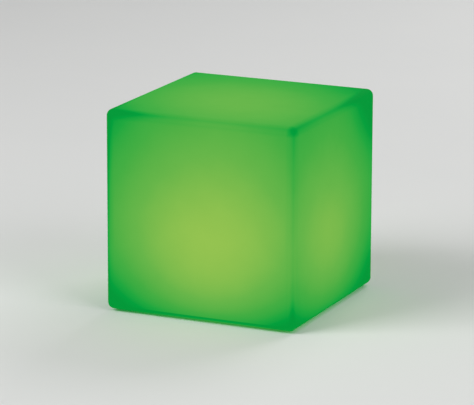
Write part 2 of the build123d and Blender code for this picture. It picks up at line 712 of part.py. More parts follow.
# Battery: a taped-down tray with two cells in series between sprung plates
with BuildPart() as holder_pad:
    with BuildSketch(Plane.XY.offset(floor_top)):
        with Locations((0, PACK_Y)):
            Rectangle(2 * (holder_half_length - PAD_MARGIN), 2 * (holder_half_width - PAD_MARGIN))
    extrude(amount=PAD_THICKNESS)
holder_pad.part.label = "holder_pad"
export_step(holder_pad.part, "parts/holder_pad.step")

tray_length = 2 * (holder_half_length - HOLDER_WALL)
with BuildPart() as battery_holder:
    with BuildSketch(Plane.XY.offset(holder_under)):
        with Locations((0, PACK_Y)):
            Rectangle(2 * holder_half_length, 2 * holder_half_width)
    extrude(amount=holder_top - holder_under)
    with BuildSketch(Plane.YZ):
        for row in cell_rows:
            with Locations((row, cell_axis)):
                Circle(CELL_RADIUS + CELL_PLAY)
            with Locations((row, cell_axis + HOLDER_RISE / 2)):
                Rectangle(2 * (CELL_RADIUS + CELL_PLAY), HOLDER_RISE)
    extrude(amount=tray_length / 2, both=True, mode=Mode.SUBTRACT)
battery_holder.part.label = "battery_holder"
export_step(battery_holder.part, "parts/battery_holder.step")

# The first cell points to +X and the second to -X, so each has its button end at one plate
body_length = CELL_LENGTH - CAP_HEIGHT
with BuildPart() as battery_cells:
    for row, way in zip(cell_rows, (1, -1)):
        with BuildSketch(Plane.YZ.offset(-way * CELL_LENGTH / 2)):
            with Locations((row, cell_axis)):
                Circle(CELL_RADIUS)
        extrude(amount=way * body_length)
        with BuildSketch(Plane.YZ.offset(way * (CELL_LENGTH / 2 - CAP_HEIGHT))):
            with Locations((row, cell_axis)):
                Circle(CAP_RADIUS)
        extrude(amount=way * CAP_HEIGHT)
battery_cells.part.label = "battery_cells"
export_step(battery_cells.part, "parts/battery_cells.step")

plate_x = CELL_LENGTH / 2 + CELL_PLAY
plate_height = CONTACT_DROP + CONTACT_RISE
with BuildPart() as cell_contacts:
    for row in cell_rows:
        for way in (-1, 1):
            with BuildSketch(Plane.YZ.offset(way * plate_x)):
                with Locations((row, cell_axis - CONTACT_DROP + plate_height / 2)):
                    Rectangle(CONTACT_WIDTH, plate_height)
            extrude(amount=way * CONTACT_THICKNESS)
    with BuildSketch(Plane.YZ.offset(-plate_x)):
        with Locations((PACK_Y, cell_axis + CONTACT_RISE - BRIDGE_HEIGHT / 2)):
            Rectangle(cell_pitch + CONTACT_WIDTH, BRIDGE_HEIGHT)
    extrude(amount=-CONTACT_THICKNESS)
cell_contacts.part.label = "cell_contacts"
export_step(cell_contacts.part, "parts/cell_contacts.step")

# Leads from the two plates at +X to the battery connector, side by side
tab_x = plate_x + CONTACT_THICKNESS + LEAD_RADIUS + FIT
outer_x = tab_x + LEAD_PITCH
connector_end = battery_connector_at[0] + CONNECTOR_LENGTH / 2 + FIT
near_row = battery_connector_at[1] + LEAD_PITCH / 2
far_row = battery_connector_at[1] - LEAD_PITCH / 2
first_lead = (
    (tab_x, cell_rows[0] + LEAD_TAB, lead_z),
    (tab_x, near_row, lead_z),
    (connector_end, near_row, lead_z),
)
second_lead = (
    (tab_x, cell_rows[1] + LEAD_TAB, lead_z),
    (tab_x, cell_rows[1] - LEAD_JOG_START, lead_z),
    (outer_x, cell_rows[1] - LEAD_JOG_END, lead_z),
    (outer_x, far_row, lead_z),
    (connector_end, far_row, lead_z),
)
with BuildPart() as battery_leads:
    add(lead(first_lead, (2 * LEAD_BEND,)))
    add(lead(second_lead, (LEAD_BEND, LEAD_BEND, 2 * LEAD_BEND)))
battery_leads.part.label = "battery_leads"
export_step(battery_leads.part, "parts/battery_leads.step")

# Charging jack: bezel, barrel, nut and seal in the roof of the port
with BuildPart() as charge_jack:
    with BuildSketch(Plane.XY.offset(bezel_under)):
        with Locations(port_at):
            Circle(JACK_BEZEL_RADIUS)
    extrude(amount=JACK_BEZEL)
    with BuildSketch(Plane.XY.offset(bezel_top)):
        with Locations(port_at):
            Circle(JACK_RADIUS)
    extrude(amount=jack_top - bezel_top)
    with BuildSketch(Plane.XY.offset(bezel_under)):
        with Locations(port_at):
            Circle(JACK_BORE_RADIUS)
    extrude(amount=jack_top - JACK_BACK - bezel_under, mode=Mode.SUBTRACT)
    with BuildSketch(Plane.XY.offset(jack_top)):
        with Locations(port_at):
            Circle(JACK_PIN_RADIUS + FIT)
    extrude(amount=-JACK_BACK, mode=Mode.SUBTRACT)
charge_jack.part.label = "charge_jack"
export_step(charge_jack.part, "parts/charge_jack.step")

sleeve_y = board_y - JACK_RADIUS + JACK_TAB_THICKNESS
with BuildPart() as jack_contacts:
    with BuildSketch(Plane.XY.offset(bezel_under + JACK_PIN_SINK)):
        with Locations(port_at):
            Circle(JACK_PIN_RADIUS)
    extrude(amount=jack_tail_top - bezel_under - JACK_PIN_SINK)
    with BuildSketch(Plane.XY.offset(jack_top)):
        with Locations((port_x, sleeve_y)):
            Rectangle(JACK_TAB_WIDTH, JACK_TAB_THICKNESS)
    extrude(amount=jack_tail_top - jack_top)
jack_contacts.part.label = "jack_contacts"
export_step(jack_contacts.part, "parts/jack_contacts.step")

with BuildPart() as jack_seal:
    with BuildSketch(Plane.XY.offset(bezel_top)):
        with Locations(port_at):
            Circle(JACK_BEZEL_RADIUS)
            Circle(JACK_RADIUS + FIT, mode=Mode.SUBTRACT)
    extrude(amount=JACK_SEAL)
jack_seal.part.label = "jack_seal"
export_step(jack_seal.part, "parts/jack_seal.step")

with BuildPart() as jack_nut:
    with BuildSketch(Plane.XY.offset(port_top)):
        with Locations(port_at):
            RegularPolygon(JACK_NUT_RADIUS, 6)
            Circle(JACK_RADIUS + FIT, mode=Mode.SUBTRACT)
    extrude(amount=JACK_NUT_HEIGHT)
jack_nut.part.label = "jack_nut"
export_step(jack_nut.part, "parts/jack_nut.step")

connector_face = jack_connector_at[0] + CONNECTOR_WIDTH / 2 + FIT
pin_row = jack_connector_at[1] + LEAD_PITCH / 2
sleeve_row = jack_connector_at[1] - LEAD_PITCH / 2
slant_x = (port_x + connector_face) / 2
pin_lead = (
    (port_x, board_y, jack_tail_top + FIT),
    (port_x, board_y, lead_z),
    (slant_x + LEAD_SLANT / 2, board_y, lead_z),
    (slant_x - LEAD_SLANT / 2, pin_row, lead_z),
    (connector_face, pin_row, lead_z),
)
sleeve_lead = (
    (port_x, sleeve_y, jack_tail_top + FIT),
    (port_x, sleeve_y, lead_z),
    (slant_x, sleeve_y, lead_z),
    (slant_x - LEAD_SLANT, sleeve_row, lead_z),
    (connector_face, sleeve_row, lead_z),
)
with BuildPart() as jack_leads:
    add(lead(pin_lead, (LEAD_BEND, LEAD_BEND, LEAD_BEND)))
    add(lead(sleeve_lead, (LEAD_BEND, LEAD_BEND, LEAD_BEND)))
jack_leads.part.label = "jack_leads"
export_step(jack_leads.part, "parts/jack_leads.step")

# Captive port plug: it bends at the thin neck of its strap, modelled there as a hinge
with BuildPart() as port_plug:
    with BuildSketch(Plane.XY.offset(plug_under)):
        with Locations(port_at):
            Circle(PLUG_RADIUS)
    extrude(amount=PLUG_THICKNESS)
    with BuildSketch(Plane.XY.offset(plug_under)):
        with Locations(((hinge_x + port_x) / 2, board_y)):
            Rectangle(port_x - hinge_x, STRAP_WIDTH)
    extrude(amount=STRAP_THICKNESS)
    with BuildSketch(Plane.XZ.offset(-board_y)):
        with Locations((hinge_x, hinge_z)):
            Circle(STRAP_THICKNESS / 2)
    extrude(amount=STRAP_WIDTH / 2, both=True)
    with BuildSketch(Plane.XY.offset(plug_top)):
        with Locations(port_at):
            Circle(JACK_BORE_RADIUS - PLUG_STUB_CLEARANCE)
            Circle(JACK_BORE_RADIUS - PLUG_STUB_CLEARANCE - PLUG_STUB_WALL, mode=Mode.SUBTRACT)
    extrude(amount=PLUG_STUB_HEIGHT)
port_plug.part.label = "port_plug"
export_step(port_plug.part, "parts/port_plug.step")

anchor_end = hinge_x - STRAP_THICKNESS / 2 - HINGE_GAP
with BuildPart() as plug_anchor:
    with BuildSketch(Plane.XY.offset(plug_under)):
        with Locations((anchor_x, board_y)):
            Circle(ANCHOR_RADIUS)
    extrude(amount=port_roof - plug_under)
    with BuildSketch(Plane.XY.offset(plug_under)):
        with Locations(((anchor_x + anchor_end) / 2, board_y)):
            Rectangle(anchor_end - anchor_x, STRAP_WIDTH)
    extrude(amount=STRAP_THICKNESS)
    with BuildSketch(Plane.XY.offset(port_roof)):
        with Locations((anchor_x, board_y)):
            Circle(ANCHOR_STEM_RADIUS)
    extrude(amount=port_top + FIT - port_roof)
    with BuildSketch(Plane.XY.offset(port_top + FIT)):
        with Locations((anchor_x, board_y)):
            Circle(ANCHOR_STEM_RADIUS + ANCHOR_BARB)
    extrude(amount=ANCHOR_BARB_HEIGHT, taper=ANCHOR_BARB_TAPER)
plug_anchor.part.label = "plug_anchor"
export_step(plug_anchor.part, "parts/plug_anchor.step")

# Power button: a hollow cap with a sealing ring, held in by its stop and pressing the switch
groove_middle = (button_face + BUTTON_SKIN + stop_under) / 2 + GROOVE_LIFT
groove_radius = BUTTON_RADIUS - GROOVE_DEPTH
dimple_radius = BUTTON_RADIUS - BUTTON_RIM
button_plane = Plane((button_x, board_y, 0), x_dir=(1, 0, 0), z_dir=(0, -1, 0))
with BuildPart() as power_button:
    with BuildSketch(button_plane):
        with BuildLine():
            Polyline(
                (BUTTON_RADIUS, button_face),
                (BUTTON_RADIUS, groove_middle - GROOVE_WIDTH / 2),
                (groove_radius, groove_middle - GROOVE_WIDTH / 2),
                (groove_radius, groove_middle + GROOVE_WIDTH / 2),
                (BUTTON_RADIUS, groove_middle + GROOVE_WIDTH / 2),
                (BUTTON_RADIUS, stop_under),
                (BUTTON_RADIUS + STOP_LIP, stop_under),
                (BUTTON_RADIUS + STOP_LIP, stop_top),
                (BUTTON_BORE, stop_top),
                (BUTTON_BORE, button_face + BUTTON_SKIN),
                (STEM_RADIUS, button_face + BUTTON_SKIN),
                (STEM_RADIUS, stem_top),
                (0, stem_top),
                (0, button_face + BUTTON_DIMPLE),
            )
            ThreePointArc(
                (0, button_face + BUTTON_DIMPLE),
                (dimple_radius / 2, button_face + BUTTON_DIMPLE * 3 / 4),
                (dimple_radius, button_face),
            )
            Line((dimple_radius, button_face), (BUTTON_RADIUS, button_face))
        make_face()
    revolve(axis=Axis((button_x, board_y, 0), (0, 0, 1)))
power_button.part.label = "power_button"
export_step(power_button.part, "parts/power_button.step")

with BuildPart() as button_ring:
    with Locations((button_x, board_y, groove_middle)):
        Torus(groove_radius + RING_SECTION + FIT, RING_SECTION)
button_ring.part.label = "button_ring"
export_step(button_ring.part, "parts/button_ring.step")

with BuildPart() as switch_body:
    with BuildSketch(Plane.XY.offset(switch_under)):
        with Locations(button_at):
            Rectangle(SWITCH_SIZE, SWITCH_SIZE)
    extrude(amount=SWITCH_HEIGHT)
    with BuildSketch(Plane.XY.offset(switch_under)):
        with Locations(button_at):
            Circle(PLUNGER_RADIUS + BUTTON_SLIDE)
    extrude(amount=PLUNGER_REACH + BUTTON_TRAVEL + SWITCH_SPARE, mode=Mode.SUBTRACT)
switch_body.part.label = "switch_body"
export_step(switch_body.part, "parts/switch_body.step")

with BuildPart() as switch_plunger:
    with BuildSketch(Plane.XY.offset(stem_top)):
        with Locations(button_at):
            Circle(PLUNGER_RADIUS)
    extrude(amount=switch_under + PLUNGER_REACH - stem_top)
switch_plunger.part.label = "switch_plunger"
export_step(switch_plunger.part, "parts/switch_plunger.step")
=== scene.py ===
"""Looks of a rechargeable cube light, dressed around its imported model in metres.

The sections follow the cube as it is put together: the moulded shell and its feet, the sealed
light unit from its plate up to its dome, then the charging port and the button underneath.
"""

import math

import bmesh
import bpy
from mathutils import Matrix, Vector


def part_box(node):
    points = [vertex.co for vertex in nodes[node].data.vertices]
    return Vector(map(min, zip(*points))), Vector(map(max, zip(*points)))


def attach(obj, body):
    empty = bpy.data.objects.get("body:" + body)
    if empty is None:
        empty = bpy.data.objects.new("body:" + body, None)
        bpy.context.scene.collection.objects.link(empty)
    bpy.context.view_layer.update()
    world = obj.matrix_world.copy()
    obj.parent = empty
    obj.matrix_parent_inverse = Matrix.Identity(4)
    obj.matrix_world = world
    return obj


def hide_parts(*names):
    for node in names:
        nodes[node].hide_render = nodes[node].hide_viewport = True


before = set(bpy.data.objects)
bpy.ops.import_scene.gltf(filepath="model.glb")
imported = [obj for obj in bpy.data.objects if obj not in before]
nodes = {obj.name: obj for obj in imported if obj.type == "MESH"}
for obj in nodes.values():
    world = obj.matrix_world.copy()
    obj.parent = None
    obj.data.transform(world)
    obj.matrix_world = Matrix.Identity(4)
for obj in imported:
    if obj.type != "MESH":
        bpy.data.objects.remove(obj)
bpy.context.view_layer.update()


# Shell: one hollow moulding of milky polyethylene with rounded edges. It is cast by turning the
# powder in a hot mould, so it has no seam and a soft satin skin, and the lamp inside shines
# through its wall. A stepped well in its underside takes the light unit.
MM = 0.001
EDGE_RADIUS = 10 * MM
EDGE_STEPS = 10
WALL = 4 * MM
FLAT_RIM = 1.2 * MM
WELL_SIDES = 96
WELL_LIP = 2 * MM
LIP_STEPS = 4
FLANGE_GAP = 1 * MM
INSERT_RADIUS = 3 * MM
BOSS_RADIUS = 6.5 * MM
BOSS_SIDES = 32
BOSS_ROOF = 3.5 * MM
FOOT_RADIUS = 11 * MM
FOOT_SEAT = 1 * MM
SLIP = 0.05 * MM
SCREW_COUNT = 6
LEVEL = 0.99

shell_low, shell_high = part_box("shell")
shell_edge = shell_high.x - shell_low.x
shell_middle = (shell_low + shell_high) / 2
well_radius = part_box("base_plate")[1].x + FLANGE_GAP
ledge_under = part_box("flange_gasket")[1].z
ledge_top = ledge_under + WALL
insert_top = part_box("threaded_inserts")[1].z
screw_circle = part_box("threaded_inserts")[1].x - INSERT_RADIUS
opening_radius = 2 * screw_circle - well_radius
foot_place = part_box("rubber_feet")[1].x - FOOT_RADIUS


def start_piece(name, add_primitive, **sizes):
    """Adds a primitive as the start of a piece, with its place in its mesh, and opens it for editing."""
    bpy.ops.object.select_all(action="DESELECT")
    add_primitive(**sizes)
    piece = bpy.context.object
    piece.name = name
    piece.data.name = name
    bpy.ops.object.transform_apply(location=True, rotation=True, scale=True)
    bpy.ops.object.mode_set(mode="EDIT")
    return piece


def pick_faces(piece, test):
    """Selects the faces whose middle, normal and area pass the test."""
    bpy.ops.mesh.select_mode(type="FACE")
    bpy.ops.mesh.select_all(action="DESELECT")
    shape = bmesh.from_edit_mesh(piece.data)
    for face in shape.faces:
        face.select_set(test(face.calc_center_median(), face.normal, face.calc_area()))
    bmesh.update_edit_mesh(piece.data)


def pick_edges(piece, test):
    """Selects the edges whose two ends both pass the test."""
    bpy.ops.mesh.select_mode(type="EDGE")
    bpy.ops.mesh.select_all(action="DESELECT")
    shape = bmesh.from_edit_mesh(piece.data)
    for edge in shape.edges:
        edge.select_set(all(test(end.co) for end in edge.verts))
    bmesh.update_edit_mesh(piece.data)


def near(a, b, slack=0.02 * MM):
    """True where two lengths are the same to a fiftieth of a millimetre."""
    return abs(a - b) < slack


def take(piece):
    """Makes a piece the one that the next operator acts on."""
    bpy.ops.object.select_all(action="DESELECT")
    piece.select_set(True)
    bpy.context.view_layer.objects.active = piece


def apply_modifier(piece, kind, **settings):
    """Adds a modifier to a piece with its settings and applies it."""
    take(piece)
    modifier = piece.modifiers.new(kind.title(), kind)
    for key, value in settings.items():
        setattr(modifier, key, value)
    bpy.ops.object.modifier_apply(modifier=modifier.name)


shell = start_piece(
    "moulded_shell", bpy.ops.mesh.primitive_cube_add, size=shell_edge, location=shell_middle
)
bpy.ops.mesh.select_all(action="SELECT")
bpy.ops.mesh.bevel(offset=EDGE_RADIUS, segments=EDGE_STEPS, profile=0.5, affect="EDGES")
pick_faces(shell, lambda middle, normal, area: area > (shell_edge / 2) ** 2)
bpy.ops.mesh.inset(thickness=FLAT_RIM, use_individual=True)
pick_faces(shell, lambda middle, normal, area: normal.z < -LEVEL and area > (shell_edge / 2) ** 2)
bpy.ops.mesh.delete(type="ONLY_FACE")
underside = shell_edge / 2 - EDGE_RADIUS - FLAT_RIM


def on_cut_border(end):
    """True on the square border that is left round the cut-out bottom."""
    return near(end.z, shell_low.z) and near(max(abs(end.x), abs(end.y)), underside)


pick_edges(shell, on_cut_border)
bpy.ops.mesh.subdivide(number_cuts=WELL_SIDES // 4 - 1)
bpy.ops.mesh.extrude_edges_move()
bpy.ops.transform.tosphere(value=1)
ring_radius = max(v.co.xy.length for v in bmesh.from_edit_mesh(shell.data).verts if v.select)

# The well is drawn in from the cut: a rounded lip, the wall beside the flange, then the ledge
well_profile = [(well_radius + WELL_LIP, shell_low.z)]
for step in range(1, LIP_STEPS + 1):
    turn = math.radians(90 * step / LIP_STEPS)
    well_profile.append(
        (well_radius + WELL_LIP * (1 - math.sin(turn)), shell_low.z + WELL_LIP * (1 - math.cos(turn)))
    )
well_profile += [(well_radius, ledge_under), (opening_radius, ledge_under)]
ring_z = shell_low.z
for step, (radius, z) in enumerate(well_profile):
    if step:
        bpy.ops.mesh.extrude_edges_move(TRANSFORM_OT_translate={"value": (0, 0, z - ring_z)})
    share = radius / ring_radius
    bpy.ops.transform.resize(value=(share, share, 1), center_override=(0, 0, 0))
    ring_radius, ring_z = radius, z
bpy.ops.mesh.select_all(action="SELECT")
bpy.ops.mesh.normals_make_consistent(inside=False)
bpy.ops.object.mode_set(mode="OBJECT")
apply_modifier(shell, "SOLIDIFY", thickness=WALL, offset=-1, use_even_offset=True, use_rim=True)


def start_round(name, at, radius, low, high, sides):
    """Starts a round upright piece from a cylinder that stands at a place seen from above."""
    return start_piece(
        name,
        bpy.ops.mesh.primitive_cylinder_add,
        vertices=sides,
        radius=radius,
        depth=high - low,
        location=(*at, (low + high) / 2),
    )


def cut_or_add(piece, operation, places, radius, low, high, sides=BOSS_SIDES):
    """Joins upright bosses to a piece, or cuts upright holes into it, at places seen from above."""
    for at in places:
        tool = start_round("round_tool", at, radius, low, high, sides)
        bpy.ops.object.mode_set(mode="OBJECT")
        apply_modifier(piece, "BOOLEAN", operation=operation, object=tool, solver="EXACT")
        bpy.data.objects.remove(tool)


screw_places = [
    (
        screw_circle * math.cos(math.tau * turn / SCREW_COUNT),
        screw_circle * math.sin(math.tau * turn / SCREW_COUNT),
    )
    for turn in range(SCREW_COUNT)
]
foot_places = [(x * foot_place, y * foot_place) for x in (-1, 1) for y in (-1, 1)]
boss_low = ledge_top - WALL / 2
cut_or_add(shell, "UNION", screw_places, BOSS_RADIUS, boss_low, insert_top + BOSS_ROOF)
cut_or_add(shell, "DIFFERENCE", screw_places, INSERT_RADIUS + SLIP, ledge_under - WALL, insert_top)
seat_low, seat_high = shell_low.z - WALL, shell_low.z + FOOT_SEAT
cut_or_add(shell, "DIFFERENCE", foot_places, FOOT_RADIUS + SLIP, seat_low, seat_high)


def shade(piece, limit_deg=30):
    """Smooths a piece over its rounded edges and keeps its sharp ones."""
    take(piece)
    bpy.ops.object.shade_smooth_by_angle(angle=math.radians(limit_deg))


shade(shell)


def linear(hex_code):
    """A colour written as sRGB hex, as the linear values that a socket takes."""
    parts = [int(hex_code[i : i + 2], 16) / 255 for i in (1, 3, 5)]
    return [v / 12.92 if v <= 0.04045 else ((v + 0.055) / 1.055) ** 2.4 for v in parts] + [1.0]


def set_inputs(tree, node, inputs):
    """Sets a node's inputs, each to a value or to a link from another node's socket."""
    for key, value in inputs.items():
        if isinstance(value, bpy.types.NodeSocket):
            tree.links.new(value, node.inputs[key])
        else:
            node.inputs[key].default_value = value


def add_node(tree, kind, inputs=None, **settings):
    """Adds a node with its settings, its values and its links."""
    node = tree.nodes.new("ShaderNode" + kind)
    for key, value in settings.items():
        setattr(node, key, value)
    set_inputs(tree, node, inputs or {})
    return node


def start_material(name):
    """A new material, its node tree, its surface shader and the Object coordinates of its piece."""
    material = bpy.data.materials.new(name)
    material.use_nodes = True
    tree = material.node_tree
    place = add_node(tree, "TexCoord").outputs["Object"]
    return material, tree, tree.nodes["Principled BSDF"], place


def per_mm(size):
    """The scale of a noise or cell pattern whose features are that many millimetres wide."""
    return 1 / (size * MM)


# Lit polyethylene: the milky wall scatters the lamp's green light, so the eye sees a soft glow that
# is yellowest where the lamp is nearest and a deeper green toward the foot, the edges and the
# corners, which get less of it. The skin is satin, with faint clouds and a fine moulded grain that
# is drawn coarser than the real one, so that it shows in a close view.
# The glow is worked out in levels from -40 to 158 of red, and lengths are in edges of the cube.
# The glow is painted into the wall's emission colour rather than cast by the LEDs inside. Each loss
# below, at the faces, edges, corners and foot, is painted shade, and each gain is painted light.
GLOW_COLOURS = (
    (-40, "#009737"),
    (0, "#009e3a"),
    (30, "#1fa73d"),
    (68, "#45ad41"),
    (104, "#69b548"),
    (158, "#9fc651"),
)
LAMP_PLACE = (0.0, 0.0, -0.478)
LAMP_SPREAD = 0.32
STRAY_LIGHT = 0.12
GLOW_GAIN = 46.0
GLOW_BASE = 137.0
FACE_LOSS = (27.0, 0.0, 42.0)
BORDER_LOSS = 14.9
DIAGONAL_LOSS = 43.5
TWIST_LOSS = (-28.0, 45.0, 0.0)
CORNER_LOSS = 19.5
SIDE_CORNER_LOSS = 240.0
FOOT_START = 0.077
FOOT_LOSS = 238.0
FOOT_CORNER_LOSS = 55.0
TOP_LEAN = -34.0
UNDER_GAIN = 55.0
EDGE_START = 0.445
EDGE_PEAK = 0.49
EDGE_SHARE = (0.78, 1.1, 0.55)
EDGE_LOSS = 29.0
TOP_SIDE_LOSS = 25.0
EDGE_END_SHARE = 0.7
EDGE_DIAGONAL_GAIN = 1.9
EDGE_FOOT_FADE = 2.0
POINT_START = 0.452
POINT_LOSS = 42.0
CLOUD_SIZE = 38
CLOUD_DEPTH = 7.0
GRAIN_SIZE = 0.9
GLOW_STRENGTH = 0.96

lit_polyethylene, tree, surface, place = start_material("lit_polyethylene")
clouds = add_node(tree, "TexNoise", {"Vector": place, "Scale": per_mm(CLOUD_SIZE), "Detail": 3})
shell_place = add_node(
    tree,
    "Mapping",
    {"Vector": place, "Location": -shell_middle / shell_edge, "Scale": [1 / shell_edge] * 3},
)
glow = {
    "place": shell_place.outputs[0],
    "normal": add_node(tree, "TexCoord").outputs["Normal"],
    "cloud": clouds.outputs[0],
}
glow_steps = (
    # Light that reaches the wall from the lamp, by its angle and distance
    ("ray", "VectorMath", "SUBTRACT", "place", LAMP_PLACE),
    ("beam", "VectorMath", "NORMALIZE", "ray"),
    ("rise", "VectorMath", "DOT_PRODUCT", "beam", (0, 0, 1)),
    ("rise", "Math", "MAXIMUM", "rise", 0),
    ("rise", "Math", "POWER", "rise", LAMP_SPREAD),
    ("slant", "VectorMath", "DOT_PRODUCT", "beam", "normal"),
    ("slant", "Math", "MAXIMUM", "slant", 0),
    ("light", "Math", "MULTIPLY", "rise", "slant"),
    ("distance", "VectorMath", "DOT_PRODUCT", "ray", "ray"),
    ("light", "Math", "DIVIDE", "light", "distance"),
    ("light", "Math", "ADD", "light", STRAY_LIGHT),
    ("light", "Math", "LOGARITHM", "light", math.e),
    ("level", "Math", "MULTIPLY_ADD", "light", GLOW_GAIN, GLOW_BASE),
    # What each face loses, and its borders
    ("squares", "VectorMath", "MULTIPLY", "normal", "normal"),
    ("face", "VectorMath", "DOT_PRODUCT", "squares", FACE_LOSS),
    ("level", "Math", "SUBTRACT", "level", "face"),
    ("across", "VectorMath", "MULTIPLY", "place", "place"),
    ("across", "VectorMath", "MULTIPLY", "across", (4, 4, 4)),
    ("depth", "VectorMath", "MULTIPLY", "across", "squares"),
    ("across", "VectorMath", "SUBTRACT", "across", "depth"),
    ("border", "VectorMath", "DOT_PRODUCT", "across", (1, 1, 1)),
    ("level", "Math", "MULTIPLY_ADD", "border", -BORDER_LOSS, "level"),
    # What the cube loses along its diagonal
    ("diagonal", "VectorMath", "DOT_PRODUCT", "place", (1, 1, 0)),
    ("diagonal", "Math", "MULTIPLY", "diagonal", "diagonal"),
    ("level", "Math", "MULTIPLY_ADD", "diagonal", -DIAGONAL_LOSS, "level"),
    # Off the diagonal, the front and back lose some more, and the left and right gain some
    ("plan", "VectorMath", "MULTIPLY", "place", (1, 1, 0)),
    ("twist", "VectorMath", "DOT_PRODUCT", "plan", "plan"),
    ("twist", "Math", "SUBTRACT", "twist", "diagonal"),
    ("twist", "Math", "MAXIMUM", "twist", 0),
    ("twist", "Math", "MULTIPLY", "twist", "twist"),
    ("twist_loss", "VectorMath", "DOT_PRODUCT", "squares", TWIST_LOSS),
    ("twist", "Math", "MULTIPLY", "twist", "twist_loss"),
    ("level", "Math", "SUBTRACT", "level", "twist"),
    # The corners on the diagonal lose more, and on the left and right most of all high up
    ("corner", "Math", "MULTIPLY", "border", "border"),
    ("middle", "VectorMath", "DOT_PRODUCT", "across", "across"),
    ("corner", "Math", "SUBTRACT", "corner", "middle"),
    ("far_corner", "Math", "MULTIPLY", "corner", "diagonal"),
    ("corner_fall", "Math", "MULTIPLY", "corner", "far_corner"),
    ("level", "Math", "MULTIPLY_ADD", "corner_fall", -CORNER_LOSS, "level"),
    ("height", "VectorMath", "DOT_PRODUCT", "place", (0, 0, 1)),
    ("upper", "Math", "MAXIMUM", "height", 0),
    ("x_side", "VectorMath", "DOT_PRODUCT", "squares", (1, 0, 0)),
    ("upper", "Math", "MULTIPLY", "upper", "x_side"),
    ("far_corner", "Math", "MULTIPLY", "far_corner", "upper"),
    ("level", "Math", "MULTIPLY_ADD", "far_corner", -SIDE_CORNER_LOSS, "level"),
    # What the foot of each side loses, and its corners
    ("drop", "Math", "SUBTRACT", FOOT_START, "height"),
    ("drop", "Math", "MAXIMUM", "drop", 0),
    ("drop", "Math", "MULTIPLY", "drop", "drop"),
    ("side", "VectorMath", "DOT_PRODUCT", "squares", (1, 1, 0)),
    ("drop", "Math", "MULTIPLY", "drop", "side"),
    ("level", "Math", "MULTIPLY_ADD", "drop", -FOOT_LOSS, "level"),
    ("low_corner", "Math", "POWER", "corner", 3),
    ("low_corner", "Math", "MULTIPLY", "low_corner", "drop"),
    ("level", "Math", "MULTIPLY_ADD", "low_corner", -FOOT_CORNER_LOSS, "level"),
    # The top is brighter toward its front
    ("lean", "VectorMath", "DOT_PRODUCT", "place", (0, TOP_LEAN, 0)),
    ("top", "VectorMath", "DOT_PRODUCT", "squares", (0, 0, 1)),
    ("level", "Math", "MULTIPLY_ADD", "lean", "top", "level"),
    # Some light spills down round the unit and shows on the underside
    ("under", "VectorMath", "DOT_PRODUCT", "normal", (0, 0, -1)),
    ("under", "Math", "MAXIMUM", "under", 0),
    ("level", "Math", "MULTIPLY_ADD", "under", UNDER_GAIN, "level"),
    # What the upper edges lose: the second longest of the three reaches tells how near an edge is
    ("reach", "VectorMath", "ABSOLUTE", "place"),
    ("x", "VectorMath", "DOT_PRODUCT", "reach", (1, 0, 0)),
    ("y", "VectorMath", "DOT_PRODUCT", "reach", (0, 1, 0)),
    ("longer", "Math", "MAXIMUM", "x", "y"),
    ("shorter", "Math", "MINIMUM", "x", "y"),
    ("second", "Math", "MINIMUM", "longer", "height"),
    ("second", "Math", "MAXIMUM", "second", "shorter"),
    ("near", "Math", "SUBTRACT", "second", EDGE_START),
    ("near", "Math", "MAXIMUM", "near", 0),
    ("near", "Math", "DIVIDE", "near", EDGE_PEAK - EDGE_START),
    ("near", "Math", "MULTIPLY", "near", "near"),
    ("edge_share", "VectorMath", "DOT_PRODUCT", "squares", EDGE_SHARE),
    ("near", "Math", "MULTIPLY", "near", "edge_share"),
    # The two edges between the top and its left and right sides lose more
    ("beside", "Math", "MINIMUM", "x", "height"),
    ("beside", "Math", "SUBTRACT", "beside", EDGE_START),
    ("beside", "Math", "MAXIMUM", "beside", 0),
    ("beside", "Math", "DIVIDE", "beside", EDGE_PEAK - EDGE_START),
    ("beside", "Math", "MULTIPLY", "beside", "beside"),
    ("edge", "Math", "MULTIPLY", "near", EDGE_LOSS),
    ("edge", "Math", "MULTIPLY_ADD", "beside", TOP_SIDE_LOSS, "edge"),
    # Both grow toward the ends of an edge and along the diagonal, and fade toward the foot
    ("end", "Math", "MULTIPLY_ADD", "border", EDGE_END_SHARE, 1 - EDGE_END_SHARE),
    ("edge", "Math", "MULTIPLY", "edge", "end"),
    ("far", "Math", "MULTIPLY", "diagonal", "diagonal"),
    ("far", "Math", "MULTIPLY_ADD", "far", EDGE_DIAGONAL_GAIN, 1),
    ("edge", "Math", "MULTIPLY", "edge", "far"),
    ("low", "Math", "MINIMUM", "height", 0),
    ("low", "Math", "MULTIPLY_ADD", "low", EDGE_FOOT_FADE, 1),
    ("edge", "Math", "MULTIPLY", "edge", "low"),
    ("level", "Math", "SUBTRACT", "level", "edge"),
    # The points where three edges meet lose the most
    ("point", "Math", "MINIMUM", "shorter", "height"),
    ("point", "Math", "SUBTRACT", "point", POINT_START),
    ("point", "Math", "MAXIMUM", "point", 0),
    ("point", "Math", "DIVIDE", "point", EDGE_PEAK - POINT_START),
    ("level", "Math", "MULTIPLY_ADD", "point", -POINT_LOSS, "level"),
    # Faint clouds where the wall is a little thicker or thinner
    ("cloud", "Math", "SUBTRACT", "cloud", 0.5),
    ("level", "Math", "MULTIPLY_ADD", "cloud", CLOUD_DEPTH, "level"),
)
for result, kind, operation, *values in glow_steps:
    inputs = {
        socket: glow[value] if isinstance(value, str) else value for socket, value in enumerate(values)
    }
    node = add_node(tree, kind, inputs, operation=operation)
    glow[result] = node.outputs["Value" if kind == "Math" or operation == "DOT_PRODUCT" else "Vector"]

